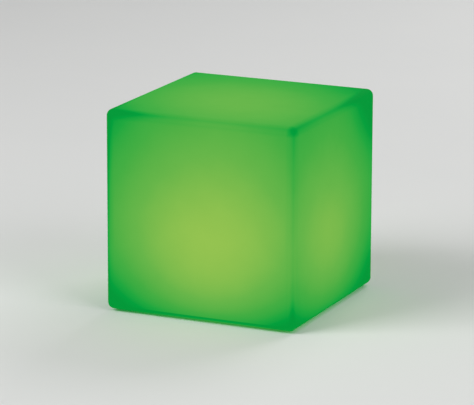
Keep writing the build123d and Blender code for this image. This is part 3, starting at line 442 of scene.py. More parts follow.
first_level, last_level = GLOW_COLOURS[0][0], GLOW_COLOURS[-1][0]
share = add_node(
    tree, "MapRange", {"Value": glow["level"], "From Min": first_level, "From Max": last_level}
)
ramp = add_node(tree, "ValToRGB", {"Fac": share.outputs[0]})
marks = ramp.color_ramp.elements
while len(marks) < len(GLOW_COLOURS):
    marks.new(0.5)
for mark, (level, colour) in zip(marks, GLOW_COLOURS):
    mark.position = (level - first_level) / (last_level - first_level)
    mark.color = linear(colour)
# Sockets 6 and 7 of a mix node are the two colours that it mixes
skin = add_node(
    tree,
    "Mix",
    {"Factor": clouds.outputs[0], 6: linear("#04260f"), 7: linear("#063016")},
    data_type="RGBA",
)
grain = add_node(tree, "TexNoise", {"Vector": place, "Scale": per_mm(GRAIN_SIZE), "Detail": 2})
gloss = add_node(tree, "MapRange", {"Value": grain.outputs[0], "To Min": 0.52, "To Max": 0.66})
dimple = add_node(
    tree, "Bump", {"Height": grain.outputs[0], "Strength": 0.15, "Distance": 0.05 * MM}
)
set_inputs(
    tree,
    surface,
    {
        "Base Color": skin.outputs[2],
        "Roughness": gloss.outputs[0],
        "IOR": 1.51,
        "Specular IOR Level": 0.002,
        "Normal": dimple.outputs[0],
        "Emission Color": ramp.outputs[0],
        "Emission Strength": GLOW_STRENGTH,
    },
)


def dress(material, *pieces):
    """Gives pieces or CAD nodes their one material."""
    for piece in pieces:
        piece.data.materials.clear()
        piece.data.materials.append(material)


dress(lit_polyethylene, shell)
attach(shell, "lamp")
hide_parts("shell")


# Feet: four soft rubber discs pressed into shallow seats in the underside. Each is moulded with a
# rounded rim, a grip groove and a dished middle, and lifts the cube just off what it stands on.
ROUND_SIDES = 64
RIM_STEPS = 4
FOOT_RIM = 0.8 * MM
FOOT_TREAD = 2.4 * MM
FOOT_GROOVE = 0.5 * MM
FOOT_DISH = 0.7 * MM
FOOT_DISH_FLAT = 3.0 * MM

foot_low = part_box("rubber_feet")[0].z
foot_top = shell_low.z + FOOT_SEAT


def rim(radius, z, size, way):
    """The points of a rounded rim, from a side wall round to an end that faces up (1) or down (-1)."""
    turns = [math.radians(90 * step / RIM_STEPS) for step in range(RIM_STEPS + 1)]
    return [(radius - size * (1 - math.cos(turn)), z + way * size * math.sin(turn)) for turn in turns]


def draw_end(piece, at, way, profile):
    """Draws a round end that faces up (1) or down (-1) on through the radii and heights of a profile."""
    radius, z = profile[0]
    pick_faces(
        piece,
        lambda middle, normal, area: normal.z * way > LEVEL and near(middle.z, profile[0][1]),
    )
    for next_radius, next_z in profile[1:]:
        bpy.ops.mesh.extrude_region_move(TRANSFORM_OT_translate={"value": (0, 0, next_z - z)})
        share = next_radius / radius
        bpy.ops.transform.resize(value=(share, share, 1), center_override=(*at, next_z))
        radius, z = next_radius, next_z


def copy_round(piece, places):
    """Copies a finished shape from the first of its places to each of the others."""
    take(piece)
    bpy.ops.object.mode_set(mode="EDIT")
    bpy.ops.mesh.select_all(action="SELECT")
    for before, after in zip(places, places[1:]):
        step = (after[0] - before[0], after[1] - before[1], 0)
        bpy.ops.mesh.duplicate_move(TRANSFORM_OT_translate={"value": step})
    bpy.ops.object.mode_set(mode="OBJECT")


feet = start_round(
    "moulded_feet", foot_places[0], FOOT_RADIUS, foot_low + FOOT_RIM, foot_top, ROUND_SIDES
)
foot_profile = rim(FOOT_RADIUS, foot_low + FOOT_RIM, FOOT_RIM, -1)
for inward, z in (
    (FOOT_TREAD, 0),
    (FOOT_GROOVE, FOOT_GROOVE),
    (FOOT_GROOVE, 0),
    (FOOT_TREAD, 0),
    (FOOT_DISH, FOOT_DISH),
    (FOOT_DISH_FLAT, FOOT_DISH),
):
    foot_profile.append((foot_profile[-1][0] - inward, foot_low + z))
draw_end(feet, foot_places[0], -1, foot_profile)
bpy.ops.object.mode_set(mode="OBJECT")
copy_round(feet, foot_places)
shade(feet, limit_deg=35)


def skin_finish(name, colours, cloud_mm, grain_mm, roughness, bump_mm, sockets=None):
    """A moulded, cast or drawn skin: two shades in clouds, and a grain in its gloss and relief.

    The grain is drawn a few times coarser than the real one, so that it shows in a close view.
    """
    material, tree, surface, place = start_material(name)
    clouds = add_node(tree, "TexNoise", {"Vector": place, "Scale": per_mm(cloud_mm), "Detail": 4})
    grain = add_node(tree, "TexNoise", {"Vector": place, "Scale": per_mm(grain_mm), "Detail": 3})
    shades = add_node(
        tree,
        "Mix",
        {"Factor": clouds.outputs[0], 6: linear(colours[0]), 7: linear(colours[1])},
        data_type="RGBA",
    )
    gloss = add_node(
        tree,
        "MapRange",
        {
            "Value": grain.outputs[0],
            "From Min": 0.3,
            "From Max": 0.7,
            "To Min": roughness[0],
            "To Max": roughness[1],
        },
    )
    relief = add_node(
        tree, "Bump", {"Height": grain.outputs[0], "Strength": 0.6, "Distance": bump_mm * MM}
    )
    set_inputs(
        tree,
        surface,
        {
            "Base Color": shades.outputs[2],
            "Roughness": gloss.outputs[0],
            "Normal": relief.outputs[0],
            **(sockets or {}),
        },
    )
    return material


# Black EPDM rubber: dull and soft, with a dusty bloom in patches and a fine matte mould grain
foot_rubber = skin_finish(
    "foot_rubber",
    colours=("#1c1c1b", "#2f2f2d"),
    cloud_mm=7,
    grain_mm=0.35,
    roughness=(0.72, 0.92),
    bump_mm=0.03,
    sockets={"Specular IOR Level": 0.35},
)
dress(foot_rubber, feet)
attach(feet, "lamp")
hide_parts("rubber_feet")


# Inserts and standoffs: turned brass, heat-set into the shell's bosses and pressed into the
# plate's floor, so that machine screws hold the light unit and the LED board.
# Turned brass: warm yellow metal with dark tarnish in patches and tool rings up its length, which
# are drawn coarser than the real ones so that they show. A wave pattern turns by 20 radians over
# each unit of its scale.
TARNISH_SIZE = 3
TOOL_RING = 0.4
WAVE_TURN = 20

turned_brass, tree, surface, place = start_material("turned_brass")
tarnish = add_node(tree, "TexNoise", {"Vector": place, "Scale": per_mm(TARNISH_SIZE), "Detail": 4})
rings = add_node(
    tree,
    "TexWave",
    {"Vector": place, "Scale": math.tau * per_mm(TOOL_RING) / WAVE_TURN, "Distortion": 0.4},
    bands_direction="Z",
)
brass = add_node(
    tree,
    "Mix",
    {"Factor": tarnish.outputs[0], 6: linear("#c69a4b"), 7: linear("#9c7434")},
    data_type="RGBA",
)
sheen = add_node(tree, "MapRange", {"Value": rings.outputs[1], "To Min": 0.24, "To Max": 0.42})
score = add_node(
    tree, "Bump", {"Height": rings.outputs[1], "Strength": 0.4, "Distance": 0.02 * MM}
)
set_inputs(
    tree,
    surface,
    {
        "Base Color": brass.outputs[2],
        "Metallic": 1.0,
        "Roughness": sheen.outputs[0],
        "Normal": score.outputs[0],
    },
)
dress(turned_brass, nodes["threaded_inserts"], nodes["led_standoffs"])


# Case of the light unit: a moulded plate that closes the shell's well, with a wall welded on it.
# Both are off-white ABS, so that little of the light is lost round the unit.
# Moulded ABS: off-white, with the fine spark-eroded grain of its mould and slight flow clouds
housing_abs = skin_finish(
    "housing_abs",
    colours=("#d8d7d0", "#cccbc3"),
    cloud_mm=45,
    grain_mm=0.7,
    roughness=(0.46, 0.62),
    bump_mm=0.05,
    sockets={"IOR": 1.53},
)
dress(housing_abs, nodes["base_plate"], nodes["housing_wall"])


# Seals: the flat gaskets under the flange, the dome and the jack, and the button's ring. They are
# cut or moulded from silicone and squeezed between the pieces that they seal.
# Silicone: dull charcoal with a faint milky bloom
gasket_silicone = skin_finish(
    "gasket_silicone",
    colours=("#2b2c2d", "#3b3c3d"),
    cloud_mm=5,
    grain_mm=0.3,
    roughness=(0.6, 0.8),
    bump_mm=0.02,
    sockets={"IOR": 1.42},
)
for name in ("flange_gasket", "dome_gasket", "jack_seal", "button_ring"):
    dress(gasket_silicone, nodes[name])


# Screws: cap screws with hexagon sockets that hold the flange, the dome and the two boards. They
# are cold-headed from stainless steel and tumbled, which rounds their rims and leaves them satin.
HEAD_RADIUS = 3.75 * MM
HEAD_HEIGHT = 2.4 * MM
HEAD_RIM = 0.4 * MM
SHANK_RADIUS = 1.95 * MM
SHANK_POINT = 0.5 * MM
SOCKET_RADIUS = HEAD_RADIUS / 2
SOCKET_DEPTH = 1.44 * MM
SOCKET_SIDES = 6
SOCKET_BREAK = 0.12 * MM

screw_low, screw_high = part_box("flange_screws")
head_seat = screw_low.z + HEAD_HEIGHT
screw_at = screw_places[0]
screws = start_round(
    "cap_screws", screw_at, HEAD_RADIUS, screw_low.z + HEAD_RIM, head_seat, ROUND_SIDES
)
draw_end(screws, screw_at, -1, rim(HEAD_RADIUS, screw_low.z + HEAD_RIM, HEAD_RIM, -1))
shank_profile = [
    (HEAD_RADIUS, head_seat),
    (SHANK_RADIUS, head_seat),
    (SHANK_RADIUS, screw_high.z - SHANK_POINT),
    (SHANK_RADIUS - SHANK_POINT, screw_high.z),
]
draw_end(screws, screw_at, 1, shank_profile)
bpy.ops.object.mode_set(mode="OBJECT")
socket_low, socket_high = screw_low.z - WALL, screw_low.z + SOCKET_DEPTH
cut_or_add(
    screws, "DIFFERENCE", [screw_at], SOCKET_RADIUS, socket_low, socket_high, SOCKET_SIDES
)
take(screws)
bpy.ops.object.mode_set(mode="EDIT")


def on_socket_mouth(end):
    """True on the hexagon where the first screw's socket opens in its head."""
    return near(end.z, screw_low.z) and (end.xy - Vector(screw_at)).length < SOCKET_RADIUS + SLIP


pick_edges(screws, on_socket_mouth)
bpy.ops.mesh.bevel(offset=SOCKET_BREAK, segments=2, affect="EDGES")
bpy.ops.object.mode_set(mode="OBJECT")
copy_round(screws, screw_places)
shade(screws, limit_deg=35)

# Satin stainless steel: grey metal with long fine scratches, drawn coarser than the real ones so
# that they show, and small duller patches
SCRATCH_WIDTH = 0.15
SCRATCH_STRETCH = (0.08, 1, 1)
PATCH_SIZE = 2.5

satin_steel, tree, surface, place = start_material("satin_steel")
stretch = add_node(tree, "Mapping", {"Vector": place, "Scale": SCRATCH_STRETCH})
scratches = add_node(
    tree, "TexNoise", {"Vector": stretch.outputs[0], "Scale": per_mm(SCRATCH_WIDTH), "Detail": 3}
)
patches = add_node(tree, "TexNoise", {"Vector": place, "Scale": per_mm(PATCH_SIZE), "Detail": 3})
steel = add_node(
    tree,
    "Mix",
    {"Factor": patches.outputs[0], 6: linear("#c4c3bf"), 7: linear("#a9a8a5")},
    data_type="RGBA",
)
sheen = add_node(tree, "MapRange", {"Value": scratches.outputs[0], "To Min": 0.2, "To Max": 0.46})
score = add_node(
    tree, "Bump", {"Height": scratches.outputs[0], "Strength": 0.25, "Distance": 0.01 * MM}
)
set_inputs(
    tree,
    surface,
    {
        "Base Color": steel.outputs[2],
        "Metallic": 1.0,
        "Roughness": sheen.outputs[0],
        "Normal": score.outputs[0],
    },
)
dress(satin_steel, screws)
for name in ("dome_screws", "led_board_screws", "control_board_screws"):
    dress(satin_steel, nodes[name])
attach(screws, "lamp")
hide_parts("flange_screws")


# Battery: two cells in a moulded tray that a foam pad tapes to the floor, with sprung plates at
# their ends and soldered leads to the control board.
# Foam tape: pale closed-cell foam, whose cut cells show as small pits, each with painted shade darkening
# toward its middle
CELL_SIZE = 0.8

foam_tape, tree, surface, place = start_material("foam_tape")
cells = add_node(tree, "TexVoronoi", {"Vector": place, "Scale": per_mm(CELL_SIZE)})
# Painted shade: each pit is darker toward its middle
foam_pit_shade = add_node(
    tree,
    "Mix",
    {"Factor": cells.outputs[0], 6: linear("#b7b6ae"), 7: linear("#dddcd5")},
    data_type="RGBA",
)
pits = add_node(tree, "Bump", {"Height": cells.outputs[0], "Strength": 0.8, "Distance": 0.2 * MM})
set_inputs(
    tree, surface, {"Base Color": foam_pit_shade.outputs[2], "Roughness": 0.9, "Normal": pits.outputs[0]}
)
dress(foam_tape, nodes["holder_pad"])

# Moulded black nylon: near black with a slight sheen and a fine grain
black_nylon = skin_finish(
    "black_nylon",
    colours=("#141414", "#1f1f20"),
    cloud_mm=12,
    grain_mm=0.5,
    roughness=(0.42, 0.6),
    bump_mm=0.03,
    sockets={"IOR": 1.53},
)
for name in ("battery_holder", "link_header", "charge_jack", "switch_body"):
    dress(black_nylon, nodes[name])

# Shrink sleeve: thin glossy blue film over each can, drawn in at the ends so that bright steel shows
SLEEVE_END = 2.4 * MM
WRINKLE_SIZE = 4

cell_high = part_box("battery_cells")[1]
shrink_sleeve, tree, surface, place = start_material("shrink_sleeve")
along = add_node(tree, "SeparateXYZ", {"Vector": place}).outputs["X"]
outward = add_node(tree, "Math", {0: along}, operation="ABSOLUTE").outputs[0]
bare = add_node(
    tree, "Math", {0: outward, 1: cell_high.x - SLEEVE_END}, operation="GREATER_THAN"
).outputs[0]
wrinkles = add_node(tree, "TexNoise", {"Vector": place, "Scale": per_mm(WRINKLE_SIZE), "Detail": 3})
film = add_node(
    tree,
    "Mix",
    {"Factor": wrinkles.outputs[0], 6: linear("#1d4f93"), 7: linear("#2a63ad")},
    data_type="RGBA",
)
can = add_node(
    tree, "Mix", {"Factor": bare, 6: film.outputs[2], 7: linear("#b9b8b4")}, data_type="RGBA"
)
sheen = add_node(tree, "MapRange", {"Value": wrinkles.outputs[0], "To Min": 0.18, "To Max": 0.34})
draw = add_node(
    tree, "Bump", {"Height": wrinkles.outputs[0], "Strength": 0.2, "Distance": 0.05 * MM}
)
set_inputs(
    tree,
    surface,
    {
        "Base Color": can.outputs[2],
        "Metallic": bare,
        "Roughness": sheen.outputs[0],
        "Normal": draw.outputs[0],
    },
)
dress(shrink_sleeve, nodes["battery_cells"])

# Nickel plate: bright spring metal with a faint warm tint and a fine grain
nickel_plate = skin_finish(
    "nickel_plate",
    colours=("#cbc6bb", "#b3ada1"),
    cloud_mm=2,
    grain_mm=0.2,
    roughness=(0.16, 0.34),
    bump_mm=0.01,
    sockets={"Metallic": 1.0},
)
for name in ("cell_contacts", "link_pins", "jack_contacts", "jack_nut"):
    dress(nickel_plate, nodes[name])

# Lead insulation: extruded soft PVC, red, with faint clouds and a dull sheen
red_pvc = skin_finish(
    "red_pvc",
    colours=("#a31713", "#8a100e"),
    cloud_mm=3,
    grain_mm=0.4,
    roughness=(0.34, 0.5),
    bump_mm=0.02,
    sockets={"IOR": 1.53},
)
dress(red_pvc, nodes["battery_leads"], nodes["jack_leads"])


# Control board: a green circuit board on four posts, with the lamp's controller, charger and coil,
# two capacitors, the wire connectors and a pin header up to the LED board.
# Green solder mask: glossy lacquer over copper, whose tracks stand out as paler raised lines
TRACK_PITCH = 1.6

green_solder_mask, tree, surface, place = start_material("green_solder_mask")
tracks = add_node(
    tree,
    "TexBrick",
    {
        "Vector": place,
        "Scale": per_mm(TRACK_PITCH),
        "Mortar Size": 0.12,
        "Mortar Smooth": 0.2,
        "Brick Width": 3.5,
        "Row Height": 1.0,
        "Color1": linear("#0f5a2a"),
        "Color2": linear("#0c4f25"),
        "Mortar": linear("#237a3f"),
    },
    offset=0.37,
)
raised = add_node(
    tree, "Bump", {"Height": tracks.outputs[1], "Strength": 0.5, "Distance": 0.04 * MM}
)
set_inputs(
    tree,
    surface,
    {
        "Base Color": tracks.outputs[0],
        "Roughness": 0.32,
        "IOR": 1.55,
        "Normal": raised.outputs[0],
    },
)
dress(green_solder_mask, nodes["control_board"])

# Moulding epoxy: charcoal, matte, with the fine grain of its filler
dark_epoxy = skin_finish(
    "dark_epoxy",
    colours=("#1b1b1d", "#27272a"),
    cloud_mm=1.2,
    grain_mm=0.15,
    roughness=(0.5, 0.75),
    bump_mm=0.01,
    sockets={"IOR": 1.55},
)
dress(dark_epoxy, nodes["driver_chips"], nodes["remote_receiver"])

# Capacitor can: a dark sleeve up the side and a bare aluminium top with a fine fleck
SLEEVE_DROP = 0.5 * MM
CAN_FLECK = 0.4

can_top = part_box("capacitors")[1].z
capacitor_can, tree, surface, place = start_material("capacitor_can")
height = add_node(tree, "SeparateXYZ", {"Vector": place}).outputs["Z"]
bare = add_node(
    tree, "Math", {0: height, 1: can_top - SLEEVE_DROP}, operation="GREATER_THAN"
).outputs[0]
fleck = add_node(tree, "TexNoise", {"Vector": place, "Scale": per_mm(CAN_FLECK), "Detail": 3})
metal = add_node(
    tree,
    "Mix",
    {"Factor": fleck.outputs[0], 6: linear("#c9cacc"), 7: linear("#b1b2b5")},
    data_type="RGBA",
)
can = add_node(
    tree, "Mix", {"Factor": bare, 6: linear("#22252b"), 7: metal.outputs[2]}, data_type="RGBA"
)
sheen = add_node(tree, "MapRange", {"Value": fleck.outputs[0], "To Min": 0.25, "To Max": 0.42})
set_inputs(
    tree,
    surface,
    {"Base Color": can.outputs[2], "Metallic": bare, "Roughness": sheen.outputs[0]},
)
dress(capacitor_can, nodes["capacitors"])

# Natural nylon: warm white, slightly cloudy, with a soft sheen
white_nylon = skin_finish(
    "white_nylon",
    colours=("#e3dfcf", "#d6d1bf"),
    cloud_mm=3,
    grain_mm=0.4,
    roughness=(0.38, 0.55),
    bump_mm=0.02,
    sockets={"IOR": 1.53},
)
dress(white_nylon, nodes["wire_connectors"], nodes["switch_plunger"])

# Clear acrylic: a polished light pipe that is clear and faintly green, with moulding haze
HAZE_SIZE = 0.8

clear_acrylic, tree, surface, place = start_material("clear_acrylic")
haze = add_node(tree, "TexNoise", {"Vector": place, "Scale": per_mm(HAZE_SIZE), "Detail": 2})
pipe = add_node(
    tree,
    "Mix",
    {"Factor": haze.outputs[0], 6: linear("#e6f4e8"), 7: linear("#d4ecd8")},
    data_type="RGBA",
)
sheen = add_node(tree, "MapRange", {"Value": haze.outputs[0], "To Min": 0.06, "To Max": 0.16})
set_inputs(
    tree,
    surface,
    {
        "Base Color": pipe.outputs[2],
        "Roughness": sheen.outputs[0],
        "IOR": 1.49,
        "Transmission Weight": 0.75,
    },
)
dress(clear_acrylic, nodes["indicator_lens"])


# LED board: a round white board on the standoffs, with two rings of LEDs that shine up into the
# dome and the receiver for the hand-held control in the middle.
# White solder mask: bright and slightly glossy, with faint tracks under it
RING_TRACK = 3.2

white_solder_mask, tree, surface, place = start_material("white_solder_mask")
tracks = add_node(
    tree,
    "TexWave",
    {
        "Vector": place,
        "Scale": math.tau * per_mm(RING_TRACK) / WAVE_TURN,
        "Distortion": 3.0,
        "Detail": 1,
    },
    wave_type="RINGS",
    rings_direction="Z",
)
mask = add_node(
    tree,
    "Mix",
    {"Factor": tracks.outputs[1], 6: linear("#e4e4dd"), 7: linear("#f0f0ea")},
    data_type="RGBA",
)
raised = add_node(
    tree, "Bump", {"Height": tracks.outputs[1], "Strength": 0.3, "Distance": 0.03 * MM}
)
set_inputs(
    tree,
    surface,
    {
        "Base Color": mask.outputs[2],
        "Roughness": 0.4,
        "IOR": 1.55,
        "Normal": raised.outputs[0],
    },
)
dress(white_solder_mask, nodes["led_board"])

# LED package: a white reflector round a window of clear gel, which glows green where it is sunk
WINDOW_SINK = 0.15 * MM
REFLECTOR_FLECK = 0.5

led_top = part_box("leds")[1].z
led_package, tree, surface, place = start_material("led_package")
height = add_node(tree, "SeparateXYZ", {"Vector": place}).outputs["Z"]
facing = add_node(tree, "TexCoord").outputs["Normal"]
facing = add_node(tree, "SeparateXYZ", {"Vector": facing}).outputs["Z"]
flat = add_node(tree, "Math", {0: facing, 1: 0.5}, operation="GREATER_THAN").outputs[0]
sunk = add_node(
    tree, "Math", {0: height, 1: led_top - WINDOW_SINK}, operation="LESS_THAN"
).outputs[0]
window = add_node(tree, "Math", {0: flat, 1: sunk}, operation="MULTIPLY").outputs[0]
fleck = add_node(tree, "TexNoise", {"Vector": place, "Scale": per_mm(REFLECTOR_FLECK), "Detail": 2})
reflector = add_node(
    tree,
    "Mix",
    {"Factor": fleck.outputs[0], 6: linear("#e9e8e0"), 7: linear("#f3f2ec")},
    data_type="RGBA",
)
lit_gel = add_node(
    tree, "Mix", {"Factor": window, 6: linear("#000000"), 7: linear("#8fe27a")}, data_type="RGBA"
)
sheen = add_node(tree, "MapRange", {"Value": fleck.outputs[0], "To Min": 0.25, "To Max": 0.4})
set_inputs(
    tree,
    surface,
    {
        "Base Color": reflector.outputs[2],
        "Roughness": sheen.outputs[0],
        "Emission Color": lit_gel.outputs[2],
        "Emission Strength": 1.0,
    },
)
dress(led_package, nodes["leds"], nodes["indicator_led"])


# Diffuser dome: a shallow cap of frosted polycarbonate, screwed down over the LED board. It spreads
# the points of light, and in life it is brightest over the rings of LEDs. Here its green glow is
# painted into its emission colour, brightest in the middle and fading out to DOME_GLOW_REACH.
# Frosted polycarbonate: pale and cloudy, with a painted green glow for the light from under it, and a
# fine etched skin
DOME_GLOW_REACH = 50 * MM
ETCH_SIZE = 0.4

frosted_polycarbonate, tree, surface, place = start_material("frosted_polycarbonate")
flat_place = add_node(tree, "Mapping", {"Vector": place, "Scale": (1, 1, 0)})
outward = add_node(tree, "VectorMath", {0: flat_place.outputs[0]}, operation="LENGTH")
spread = add_node(
    tree,
    "MapRange",
    {"Value": outward.outputs["Value"], "From Max": DOME_GLOW_REACH, "To Min": 1.0, "To Max": 0.0},
    interpolation_type="SMOOTHSTEP",
)
etch = add_node(tree, "TexNoise", {"Vector": place, "Scale": per_mm(ETCH_SIZE), "Detail": 2})
# Painted glow: the LEDs' light through the dome, fading from the middle outward
lit = add_node(
    tree,
    "Mix",
    {"Factor": spread.outputs[0], 6: linear("#0f7a34"), 7: linear("#a9d86a")},
    data_type="RGBA",
)
frost = add_node(
    tree,
    "Mix",
    {"Factor": etch.outputs[0], 6: linear("#a9c9ad"), 7: linear("#c0d9c2")},
    data_type="RGBA",
)
sheen = add_node(tree, "MapRange", {"Value": etch.outputs[0], "To Min": 0.5, "To Max": 0.7})
relief = add_node(
    tree, "Bump", {"Height": etch.outputs[0], "Strength": 0.3, "Distance": 0.02 * MM}
)
set_inputs(
    tree,
    surface,
    {
        "Base Color": frost.outputs[2],
        "Roughness": sheen.outputs[0],
        "IOR": 1.58,
        "Normal": relief.outputs[0],
        "Emission Color": lit.outputs[2],
        "Emission Strength": 0.8,
    },
)
dress(frosted_polycarbonate, nodes["diffuser_dome"])


# Port plug and its anchor: a soft moulded plug that shuts the charging port, on a thin strap whose
# barbed end is pulled through the roof of the port. The plug's disc has a rounded rim and a shallow
# thumb dish, and a hollow stub on it is pressed into the socket.
PLUG_RADIUS = 8.5 * MM
PLUG_THICKNESS = 1.5 * MM
PLUG_RIM = 0.5 * MM
PLUG_FLAT = 1.5 * MM
PLUG_DISH = 0.3 * MM
STUB_RADIUS = 2.75 * MM
STUB_WALL = 1.15 * MM
STUB_RIM = 0.25 * MM
STRAP_THICKNESS = 1.2 * MM
STRAP_WIDTH = 5 * MM
STRAP_RIM = 0.55 * MM
STRAP_LAP = 3 * MM

plug_low, plug_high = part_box("port_plug")
plug_at = (plug_high.x - PLUG_RADIUS, (plug_low.y + plug_high.y) / 2)
plug_top = plug_low.z + PLUG_THICKNESS
plug = start_round(
    "plug_disc", plug_at, PLUG_RADIUS, plug_low.z + PLUG_RIM, plug_top, ROUND_SIDES
)
plug_dish = PLUG_RADIUS - PLUG_RIM - PLUG_FLAT
thumb_profile = [
    (plug_dish, plug_low.z),
    (plug_dish - PLUG_RIM, plug_low.z + PLUG_DISH),
    (PLUG_RIM, plug_low.z + PLUG_DISH),
]
draw_end(plug, plug_at, -1, rim(PLUG_RADIUS, plug_low.z + PLUG_RIM, PLUG_RIM, -1) + thumb_profile)
stub_profile = [
    (PLUG_RADIUS, plug_top),
    (STUB_RADIUS, plug_top),
    (STUB_RADIUS, plug_high.z - STUB_RIM),
    (STUB_RADIUS - STUB_RIM, plug_high.z),
    (STUB_RADIUS - STUB_WALL, plug_high.z),
    (STUB_RADIUS - STUB_WALL, plug_top),
]
draw_end(plug, plug_at, 1, stub_profile)
bpy.ops.object.mode_set(mode="OBJECT")

strap_end = plug_at[0] - PLUG_RADIUS + STRAP_LAP
strap = start_piece(
    "strap_tool",
    bpy.ops.mesh.primitive_cube_add,
    size=1,
    scale=(strap_end - plug_low.x, STRAP_WIDTH, STRAP_THICKNESS),
    location=((strap_end + plug_low.x) / 2, plug_at[1], plug_low.z + STRAP_THICKNESS / 2),
)
pick_edges(strap, lambda end: near(end.x, plug_low.x))
bpy.ops.mesh.bevel(offset=STRAP_RIM, segments=RIM_STEPS, affect="EDGES")
bpy.ops.object.mode_set(mode="OBJECT")
apply_modifier(plug, "BOOLEAN", operation="UNION", object=strap, solver="EXACT")
bpy.data.objects.remove(strap)
shade(plug, limit_deg=35)

# Thermoplastic elastomer: dark grey, dull and slightly grippy, with a fine satin grain
plug_elastomer = skin_finish(
    "plug_elastomer",
    colours=("#2c2d2f", "#3a3b3d"),
    cloud_mm=6,
    grain_mm=0.4,
    roughness=(0.55, 0.75),
    bump_mm=0.03,
    sockets={"IOR": 1.5},
)
dress(plug_elastomer, plug, nodes["plug_anchor"])
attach(plug, "plug")
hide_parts("port_plug")


# Power button: a dished cap of grey ABS with a rounded edge, which slides in the plate's collar.
# A groove round it holds the sealing ring, a lip above stops it, and a stem presses the switch.
BUTTON_RADIUS = 8 * MM
BUTTON_RIM = 0.5 * MM
BUTTON_FLAT = 1.6 * MM
BUTTON_DISH = 0.5 * MM
BUTTON_SKIN = 2.5 * MM
BUTTON_BORE = 5.3 * MM
DISH_STEPS = 6
RING_WIDTH = 1.6 * MM
RING_DEPTH = 1.2 * MM
STOP_LIP = 1.6 * MM
STOP_THICKNESS = 1.2 * MM
STEM_RADIUS = 2.5 * MM
STEM_RISE = 0.6 * MM

button_low, button_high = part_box("power_button")
ring_low, ring_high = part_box("button_ring")
button_at = ((button_low.x + button_high.x) / 2, (button_low.y + button_high.y) / 2)
groove_low = (ring_low.z + ring_high.z - RING_WIDTH) / 2
groove_high = groove_low + RING_WIDTH
stop_top = button_high.z - STEM_RISE
stop_under = stop_top - STOP_THICKNESS
button = start_round(
    "button_cap", button_at, BUTTON_RADIUS, button_low.z + BUTTON_RIM, groove_low, ROUND_SIDES
)
face_profile = rim(BUTTON_RADIUS, button_low.z + BUTTON_RIM, BUTTON_RIM, -1)
for step in range(DISH_STEPS):
    share = 1 - step / DISH_STEPS
    face_profile.append(
        ((BUTTON_RADIUS - BUTTON_FLAT) * share, button_low.z + BUTTON_DISH * (1 - share**2))
    )
draw_end(button, button_at, -1, face_profile)
stem_profile = [
    (BUTTON_RADIUS, groove_low),
    (BUTTON_RADIUS - RING_DEPTH, groove_low),
    (BUTTON_RADIUS - RING_DEPTH, groove_high),
    (BUTTON_RADIUS, groove_high),
    (BUTTON_RADIUS, stop_under),
    (BUTTON_RADIUS + STOP_LIP, stop_under),
    (BUTTON_RADIUS + STOP_LIP, stop_top),
    (BUTTON_BORE, stop_top),
    (BUTTON_BORE, button_low.z + BUTTON_SKIN),
    (STEM_RADIUS, button_low.z + BUTTON_SKIN),
    (STEM_RADIUS, button_high.z),
]
draw_end(button, button_at, 1, stem_profile)
bpy.ops.object.mode_set(mode="OBJECT")
shade(button, limit_deg=35)

# Grey ABS: satin, with a fine spark-eroded grain
button_abs = skin_finish(
    "button_abs",
    colours=("#6b6c6e", "#77787a"),
    cloud_mm=8,
    grain_mm=0.5,
    roughness=(0.4, 0.55),
    bump_mm=0.04,
    sockets={"IOR": 1.53},
)
dress(button_abs, button)
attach(button, "button")
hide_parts("power_button")


# Floor, lamps and camera: a plain pale sheet under soft lamps, seen as the photograph sees it.
# The sheet is clear from below, and one lamp stands under it, so the underside can be looked at.
FLOOR_SIZE = 60.0
FLOOR_CLOUD = 400
FLOOR_GAP = 0.1 * MM
ROOM_LIGHT = 0.25
ROOM_SEEN = 0.8
CAMERA_TURN = math.radians(24.40)
CAMERA_RISE = math.radians(14.18)
CAMERA_ROLL = math.radians(0.168)
CAMERA_REACH = 15.731
CAMERA_SIDE = -0.02208
CAMERA_UP = -0.02330
LENS_PIXELS = 3194
PHOTO_WIDTH = 474
SENSOR = 36

floor = start_piece(
    "floor", bpy.ops.mesh.primitive_plane_add, size=FLOOR_SIZE, location=(0, 0, -FLOOR_GAP)
)
bpy.ops.object.mode_set(mode="OBJECT")
pale_paper, tree, surface, place = start_material("pale_paper")
rays = add_node(tree, "LightPath")
below = add_node(tree, "NewGeometry").outputs["Backfacing"]
fibre = add_node(tree, "TexNoise", {"Vector": place, "Scale": per_mm(FLOOR_CLOUD), "Detail": 2})
tint = add_node(
    tree,
    "Mix",
    {"Factor": fibre.outputs[0], 6: linear("#dedfde"), 7: linear("#e2e2e1")},
    data_type="RGBA",
)
set_inputs(
    tree, surface, {"Base Color": tint.outputs[2], "Roughness": 0.8, "Specular IOR Level": 0.2}
)
clear = add_node(tree, "BsdfTransparent")
see_through = add_node(
    tree, "Math", {0: below, 1: rays.outputs["Is Shadow Ray"]}, operation="MAXIMUM"
)
mixed = add_node(
    tree, "MixShader", {0: see_through.outputs[0], 1: surface.outputs[0], 2: clear.outputs[0]}
)
set_inputs(tree, tree.nodes["Material Output"], {"Surface": mixed.outputs[0]})
dress(pale_paper, floor)

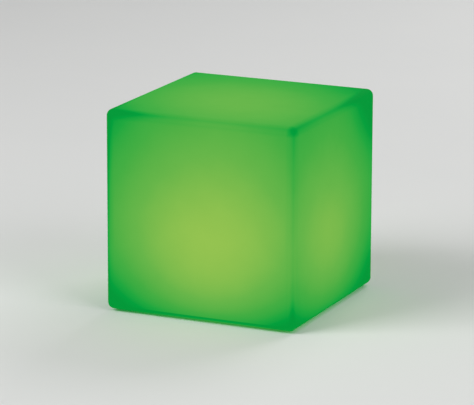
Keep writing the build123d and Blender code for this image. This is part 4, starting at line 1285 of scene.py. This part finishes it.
world = bpy.data.worlds.new("pale_room")
bpy.context.scene.world = world
world.use_nodes = True
tree = world.node_tree
tree.nodes.clear()
rays = add_node(tree, "LightPath")
seen = add_node(
    tree,
    "Math",
    {0: rays.outputs["Is Camera Ray"], 1: rays.outputs["Is Glossy Ray"]},
    operation="MAXIMUM",
)
seen = add_node(
    tree,
    "Math",
    {0: seen.outputs[0], 1: rays.outputs["Is Transmission Ray"]},
    operation="MAXIMUM",
)
strength = add_node(
    tree, "MapRange", {"Value": seen.outputs[0], "To Min": ROOM_LIGHT, "To Max": ROOM_SEEN}
)
room = add_node(
    tree, "Background", {"Color": linear("#f4f5f4"), "Strength": strength.outputs[0]}
)
add_node(tree, "OutputWorld", {"Surface": room.outputs[0]})


def soft_lamp(name, place, aim, size, power):
    """A square soft lamp at a place, turned to what it lights."""
    data = bpy.data.lights.new(name, "AREA")
    data.shape = "SQUARE"
    data.size = size
    data.energy = power
    lamp = bpy.data.objects.new(name, data)
    bpy.context.scene.collection.objects.link(lamp)
    lamp.location = place
    lamp.rotation_euler = (Vector(aim) - Vector(place)).to_track_quat("-Z", "Y").to_euler()


lamp_aim = (0, 0, 0.1)
soft_lamp("key_lamp", place=(-2.2, -2.6, 2.8), aim=lamp_aim, size=2.4, power=120)
soft_lamp("fill_lamp", place=(3.2, -1.2, 2.0), aim=lamp_aim, size=2.4, power=50)
soft_lamp("back_lamp", place=(0.6, 3.2, 2.6), aim=lamp_aim, size=2.4, power=60)
soft_lamp("under_lamp", place=(0, 0, -1.2), aim=(0, 0, 0), size=0.25, power=7)

back = Vector(
    (
        math.sin(CAMERA_TURN) * math.cos(CAMERA_RISE),
        -math.cos(CAMERA_TURN) * math.cos(CAMERA_RISE),
        math.sin(CAMERA_RISE),
    )
)
right = Vector((math.cos(CAMERA_TURN), math.sin(CAMERA_TURN), 0))
up = back.cross(right)
eye = shell_middle + shell_edge * (back * CAMERA_REACH + right * CAMERA_SIDE + up * CAMERA_UP)
rolled_right = right * math.cos(CAMERA_ROLL) + up * math.sin(CAMERA_ROLL)
rolled_up = up * math.cos(CAMERA_ROLL) - right * math.sin(CAMERA_ROLL)
lens = bpy.data.cameras.new("camera")
lens.sensor_width = SENSOR
lens.lens = LENS_PIXELS / PHOTO_WIDTH * SENSOR
camera = bpy.data.objects.new("camera", lens)
bpy.context.scene.collection.objects.link(camera)
camera.matrix_world = Matrix(
    (
        (rolled_right.x, rolled_up.x, back.x, eye.x),
        (rolled_right.y, rolled_up.y, back.y, eye.y),
        (rolled_right.z, rolled_up.z, back.z, eye.z),
        (0, 0, 0, 1),
    )
)
bpy.context.scene.camera = camera
bpy.context.scene.view_settings.view_transform = "Standard"
